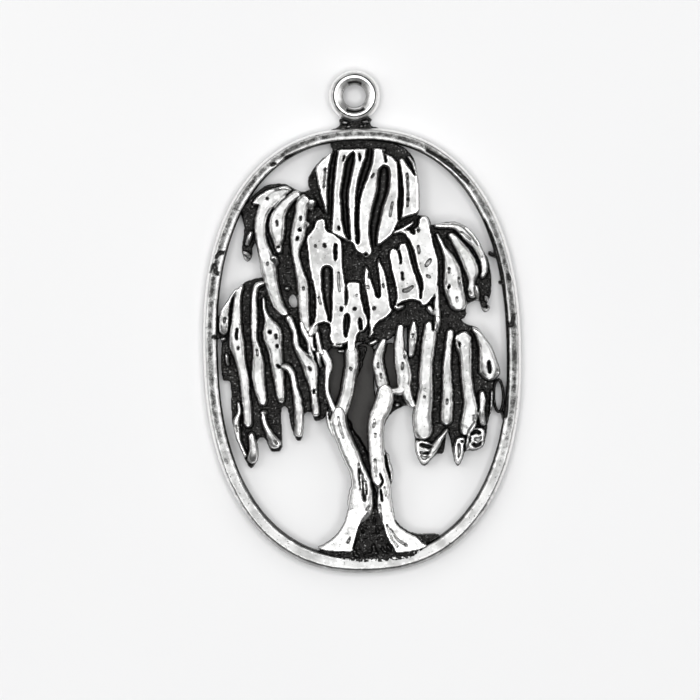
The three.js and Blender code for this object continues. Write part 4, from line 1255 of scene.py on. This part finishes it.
rightStem = {
    "seed": 23.0,
    "ground": [[1.3, -7.2], [1.6, -7.6], [1.86, -8.3], [2.1, -9.1], [2.1, -9.8], [1.92, -10.3],
               [1.6, -10.4], [1.3, -9.0]],
    "strands": [
        [[1.6, -2.5, 0.9], [1.65, -3.1, 1.15], [1.6, -3.7, 1.3], [1.35, -4.4, 1.3], [0.98, -5.1, 1.2],
         [0.85, -6.0, 1.15], [0.85, -7.0, 1.12], [0.9, -8.0, 1.12], [1.0, -9.0, 1.16], [1.15, -9.7, 1.2],
         [1.4, -10.4, 0.9], [1.4, -11.0, 1.0], [1.4, -11.6, 1.08], [1.46, -12.2, 1.06],
         [1.6, -12.8, 0.95], [1.8, -13.4, 0.7]],
        [[0.85, -8.8, 0.72], [0.9, -9.6, 0.74], [0.92, -10.25, 0.6]],
        [[1.7, -7.8, 0.1], [1.8, -8.5, 0.14], [1.98, -9.3, 0.12], [1.95, -9.9, 0.1]],
    ],
    "lands": [[[1.0, -12.2], [1.9, -12.2], [2.05, -12.6], [2.35, -13.2], [3.0, -13.75], [3.6, -14.05],
               [4.2, -14.55], [4.55, -14.85], [4.2, -15.05], [3.5, -15.25], [2.5, -15.35], [2.1, -15.3],
               [1.9, -14.85], [1.5, -14.2], [1.3, -13.6], [1.15, -12.9]]],
    "grooves": [
        (1.9, [[0.62, -10.0, 0.1], [0.75, -10.3, 0.12], [0.95, -10.38, 0.12], [1.15, -10.2, 0.12],
               [1.28, -9.9, 0.12], [1.2, -9.55, 0.12], [1.1, -9.3, 0.08]]),
        (1.6, [[1.1, -10.45, 0.12], [1.17, -10.9, 0.18], [1.2, -11.4, 0.12]]),
        (2.4, [[1.42, -10.3, 0.06], [1.5, -11.0, 0.1]]),
        (2.5, [[0.74, -8.2, 0.12], [0.78, -8.8, 0.16], [0.85, -9.5, 0.1]]),
        (2.1, [[1.0, -11.7, 0.06], [1.05, -12.3, 0.1], [1.15, -12.9, 0.08]]),
        (2.3, [[1.5, -13.2, 0.06], [1.9, -14.2, 0.1], [2.3, -14.9, 0.06]]),
        (2.4, [[1.75, -13.5, 0.06], [2.3, -14.3, 0.1], [3.0, -14.8, 0.06]]),
        (2.3, [[1.2, -3.75, 0.16], [1.22, -3.85, 0.16]]),
        (2.5, [[0.8, -5.1, 0.08], [0.72, -5.8, 0.1]]),
        (2.5, [[0.84, -6.2, 0.1], [0.82, -6.6, 0.1]]),
    ],
}

boughs = {
    "left_outer": {
        "seed": 25.0,
        "strands": [[[-2.95, 0.3, 0.4], [-2.75, -0.4, 0.6], [-2.56, -1.05, 0.6], [-2.7, -1.8, 0.4],
                     [-2.74, -2.9, 0.36], [-2.5, -3.8, 0.42], [-2.15, -4.6, 0.5], [-2.0, -5.2, 0.5]]],
    },
    "left_inner": {
        "seed": 27.0,
        "ground": [[-0.9, 0.3], [0.4, 0.35], [0.15, -0.6], [0.0, -1.2], [-0.3, -1.9], [-0.75, -2.6],
                   [-1.0, -3.6], [-1.6, -4.4], [-1.7, -3.8], [-1.2, -2.2], [-0.9, -1.0]],
        # a dark sheet across the gap between the limbs: partly blackened metal, partly painted shade over
        # the opening
        "web": [[-2.6, 0.2], [-1.2, 0.3], [-1.1, -1.0], [-1.4, -2.8], [-1.8, -4.2], [-2.1, -4.5],
                [-2.5, -3.6], [-2.7, -2.0]],
        "strands": [[[-0.75, 0.5, 0.85], [-0.8, -0.5, 0.95], [-0.82, -1.2, 0.95], [-1.0, -2.0, 0.92],
                     [-1.17, -3.0, 0.92], [-1.5, -4.0, 0.95], [-1.75, -4.7, 0.95], [-1.8, -5.3, 0.8]]],
        "grooves": [
            (2.0, [[-0.98, -1.25, 0.12], [-0.8, -1.4, 0.16]]),
            (2.1, [[-1.0, -1.75, 0.1], [-0.9, -1.8, 0.1]]),
        ],
    },
    "right_inner": {
        "seed": 29.0,
        # a dark sheet across the gap between the limbs: partly blackened metal, partly painted shade over
        # the opening
        "web": [[1.4, 0.4], [2.6, 0.4], [2.6, -1.6], [2.75, -2.6], [2.3, -3.1], [1.6, -2.8],
                [1.5, -1.2]],
        "strands": [[[1.75, 0.95, 0.3], [1.4, 0.2, 0.6], [1.18, -0.5, 0.7], [1.15, -1.1, 0.85],
                     [1.32, -1.8, 0.82], [1.42, -2.4, 0.85], [1.55, -3.0, 0.9]]],
        "grooves": [
            (2.1, [[1.2, -0.9, 0.08], [1.15, -1.3, 0.12]]),
            (2.1, [[1.35, -1.7, 0.08], [1.4, -2.1, 0.1]]),
        ],
    },
    "right_outer": {
        "seed": 31.0,
        "strands": [[[2.95, 2.0, 0.45], [2.85, 1.0, 0.65], [2.8, 0.2, 0.8], [2.95, -0.8, 1.05],
                     [3.1, -1.6, 1.15], [3.1, -2.4, 1.1], [2.85, -3.0, 0.8], [2.3, -3.1, 0.5],
                     [1.8, -3.1, 0.5]]],
        "grooves": [
            (1.9, [[3.18, 0.2, 0.12], [3.2, -0.6, 0.14]]),
            (2.1, [[3.05, -0.9, 0.1], [3.0, -1.5, 0.14]]),
        ],
    },
    "right_spur": {
        "seed": 33.0,
        "ground": [[1.9, -3.2], [3.1, -3.2], [3.7, -4.4], [3.3, -4.25], [2.7, -4.45], [2.2, -4.75],
                   [1.8, -5.2], [1.5, -5.8], [1.3, -5.2], [1.9, -4.2]],
        "strands": [
            [[3.15, -2.4, 0.8], [3.3, -3.2, 0.75], [3.5, -3.8, 0.6], [3.85, -4.4, 0.35]],
            [[2.35, -4.15, 0.12], [2.7, -4.1, 0.12]],
        ],
    },
}

foot = {
    "seed": 35.0,
    "crest": 2.1,
    "droop": 0.0,
    "hammer": 0.2,
    "groundLevel": 1.78,
    "soften": 1,
    "ground": [[-3.6, -14.95], [-2.2, -15.0], [-1.0, -14.8], [-0.8, -13.4], [-0.4, -12.3], [0.1, -11.9],
               [0.9, -12.0], [1.4, -12.6], [2.12, -12.75], [2.6, -13.35], [3.2, -13.75], [3.8, -13.95],
               [4.4, -13.98], [5.0, -13.95], [5.5, -14.12], [4.9, -14.45], [4.6, -14.75], [4.4, -15.05],
               [3.4, -15.7], [2.2, -15.95], [0.4, -16.05], [-0.4, -16.0], [-2.0, -15.75],
               [-3.3, -15.3]],
    "strands": [
        [[0.45, -14.6, 0.2], [0.5, -15.1, 0.24], [0.3, -15.4, 0.2], [-0.3, -15.45, 0.12]],
        [[0.5, -15.2, 0.2], [0.8, -15.4, 0.2]],
        [[-1.0, -15.0, 0.14], [-0.9, -15.4, 0.2], [-0.6, -15.6, 0.12]],
        [[1.15, -14.8, 0.12], [1.2, -15.1, 0.16], [1.5, -15.3, 0.1]],
        [[1.5, -14.7, 0.1], [1.8, -15.2, 0.14]],
        [[0.75, -13.4, 0.1], [0.85, -13.9, 0.14]],
        [[0.55, -12.6, 0.08], [0.6, -13.0, 0.1]],
        [[-0.35, -13.5, 0.08], [-0.3, -13.8, 0.1]],
    ],
}

reliefPiece("stem_left", "trunk_left", {**stemShape, **leftStem}, silver)
reliefPiece("stem_right", "trunk_right", {**stemShape, **rightStem}, silver)
for label, bough in boughs.items():
    reliefPiece("bough_" + label + "_cast", "bough_" + label, {**limbShape, **bough}, silver)
reliefPiece("foot_cast", "root_foot", foot, silver)
print("trunk and boughs done")


floorLook = {
    "size": 1.6,
    "dull": (0.86, 0.86, 0.865, 1),
    "pale": (0.89, 0.89, 0.89, 1),
    "clouds": 30.0,  # to a metre
    "roughness": 0.9,
    "specular": 0.1,
}


def floorMaterial():
    material, tree = newMaterial("pale_floor")
    place = addNode(tree, "ShaderNodeTexCoord", output="Object")
    cloud = noise(tree, place, floorLook["clouds"])
    colour = colourMix(tree, cloud, floorLook["dull"], floorLook["pale"])
    surface(tree, {"Base Color": colour},
            {"Roughness": floorLook["roughness"], "Specular IOR Level": floorLook["specular"]})
    return material


def makeFloor():
    mesh = bpy.data.meshes.new("floor")
    half = floorLook["size"] / 2
    corners = [(-half, -half, 0), (half, -half, 0), (half, half, 0), (-half, half, 0)]
    mesh.from_pydata(corners, [], [(0, 1, 2, 3)])
    mesh.materials.append(floorMaterial())
    floor = bpy.data.objects.new("floor", mesh)
    bpy.context.scene.collection.objects.link(floor)


# place, size and brightness of each soft panel; a ring of small lights round the lens; the pale room
panels = {
    "panel_over": ((0.0, 0.0, 0.62), (0.56, 0.56), 0.62),
    "panel_left_high": ((-0.26, 0.03, 0.45), (0.26, 0.26), 1.05),
    "panel_left_low": ((-0.36, 0.06, 0.34), (0.36, 0.26), 1.0),
    "panel_right_high": ((0.26, 0.03, 0.45), (0.26, 0.26), 0.65),
    "panel_right_low": ((0.40, 0.02, 0.30), (0.36, 0.22), 1.2),
    "panel_top": ((-0.06, 0.34, 0.38), (0.44, 0.28), 0.9),
}
ringLight = {"count": 8, "radius": 0.19, "height": 0.63, "size": 0.09, "brightness": 12.0}
room = {"colour": (0.5, 0.5, 0.505, 1), "strength": 0.12}


def makePanel(name, place, size, brightness):
    light = bpy.data.lights.new(name, "AREA")
    light.shape = "RECTANGLE"
    light.size, light.size_y = size
    light.energy = brightness * math.pi * size[0] * size[1]
    panel = bpy.data.objects.new(name, light)
    panel.location = place
    panel.rotation_euler = (-Vector(place)).to_track_quat("-Z", "Y").to_euler()
    bpy.context.scene.collection.objects.link(panel)


def makeLight():
    for name, (place, size, brightness) in panels.items():
        makePanel(name, place, size, brightness)
    radius, size = ringLight["radius"], ringLight["size"]
    for i in range(ringLight["count"]):
        angle = 2 * math.pi * (i + 0.5) / ringLight["count"]
        place = (radius * math.cos(angle), radius * math.sin(angle), ringLight["height"])
        makePanel("ring_light_%d" % i, place, (size, size), ringLight["brightness"])
    world = bpy.data.worlds.new("tent")
    world.use_nodes = True
    background = world.node_tree.nodes["Background"]
    background.inputs["Color"].default_value = room["colour"]
    background.inputs["Strength"].default_value = room["strength"]
    bpy.context.scene.world = world


view = {
    # millimetres: how much the camera sees across, and where it stands
    "across": 53.2,
    "middleX": -0.925,
    "middleY": -2.2,
    "distance": 450.0,
    "sensor": 36.0,
    "roll": -1.45,  # degrees
    "clip": (0.01, 10),
}


def makeCamera():
    data = bpy.data.cameras.new("camera")
    data.sensor_width = view["sensor"]
    data.lens = view["sensor"] * view["distance"] / view["across"]
    data.clip_start, data.clip_end = view["clip"]
    camera = bpy.data.objects.new("camera", data)
    camera.location = (view["middleX"] * mm, view["middleY"] * mm, view["distance"] * mm)
    camera.rotation_euler = (0, 0, math.radians(view["roll"]))
    bpy.context.scene.collection.objects.link(camera)
    bpy.context.scene.camera = camera


makeFloor()
makeLight()
makeCamera()
bpy.context.scene.view_settings.view_transform = "Standard"
print("stage done")
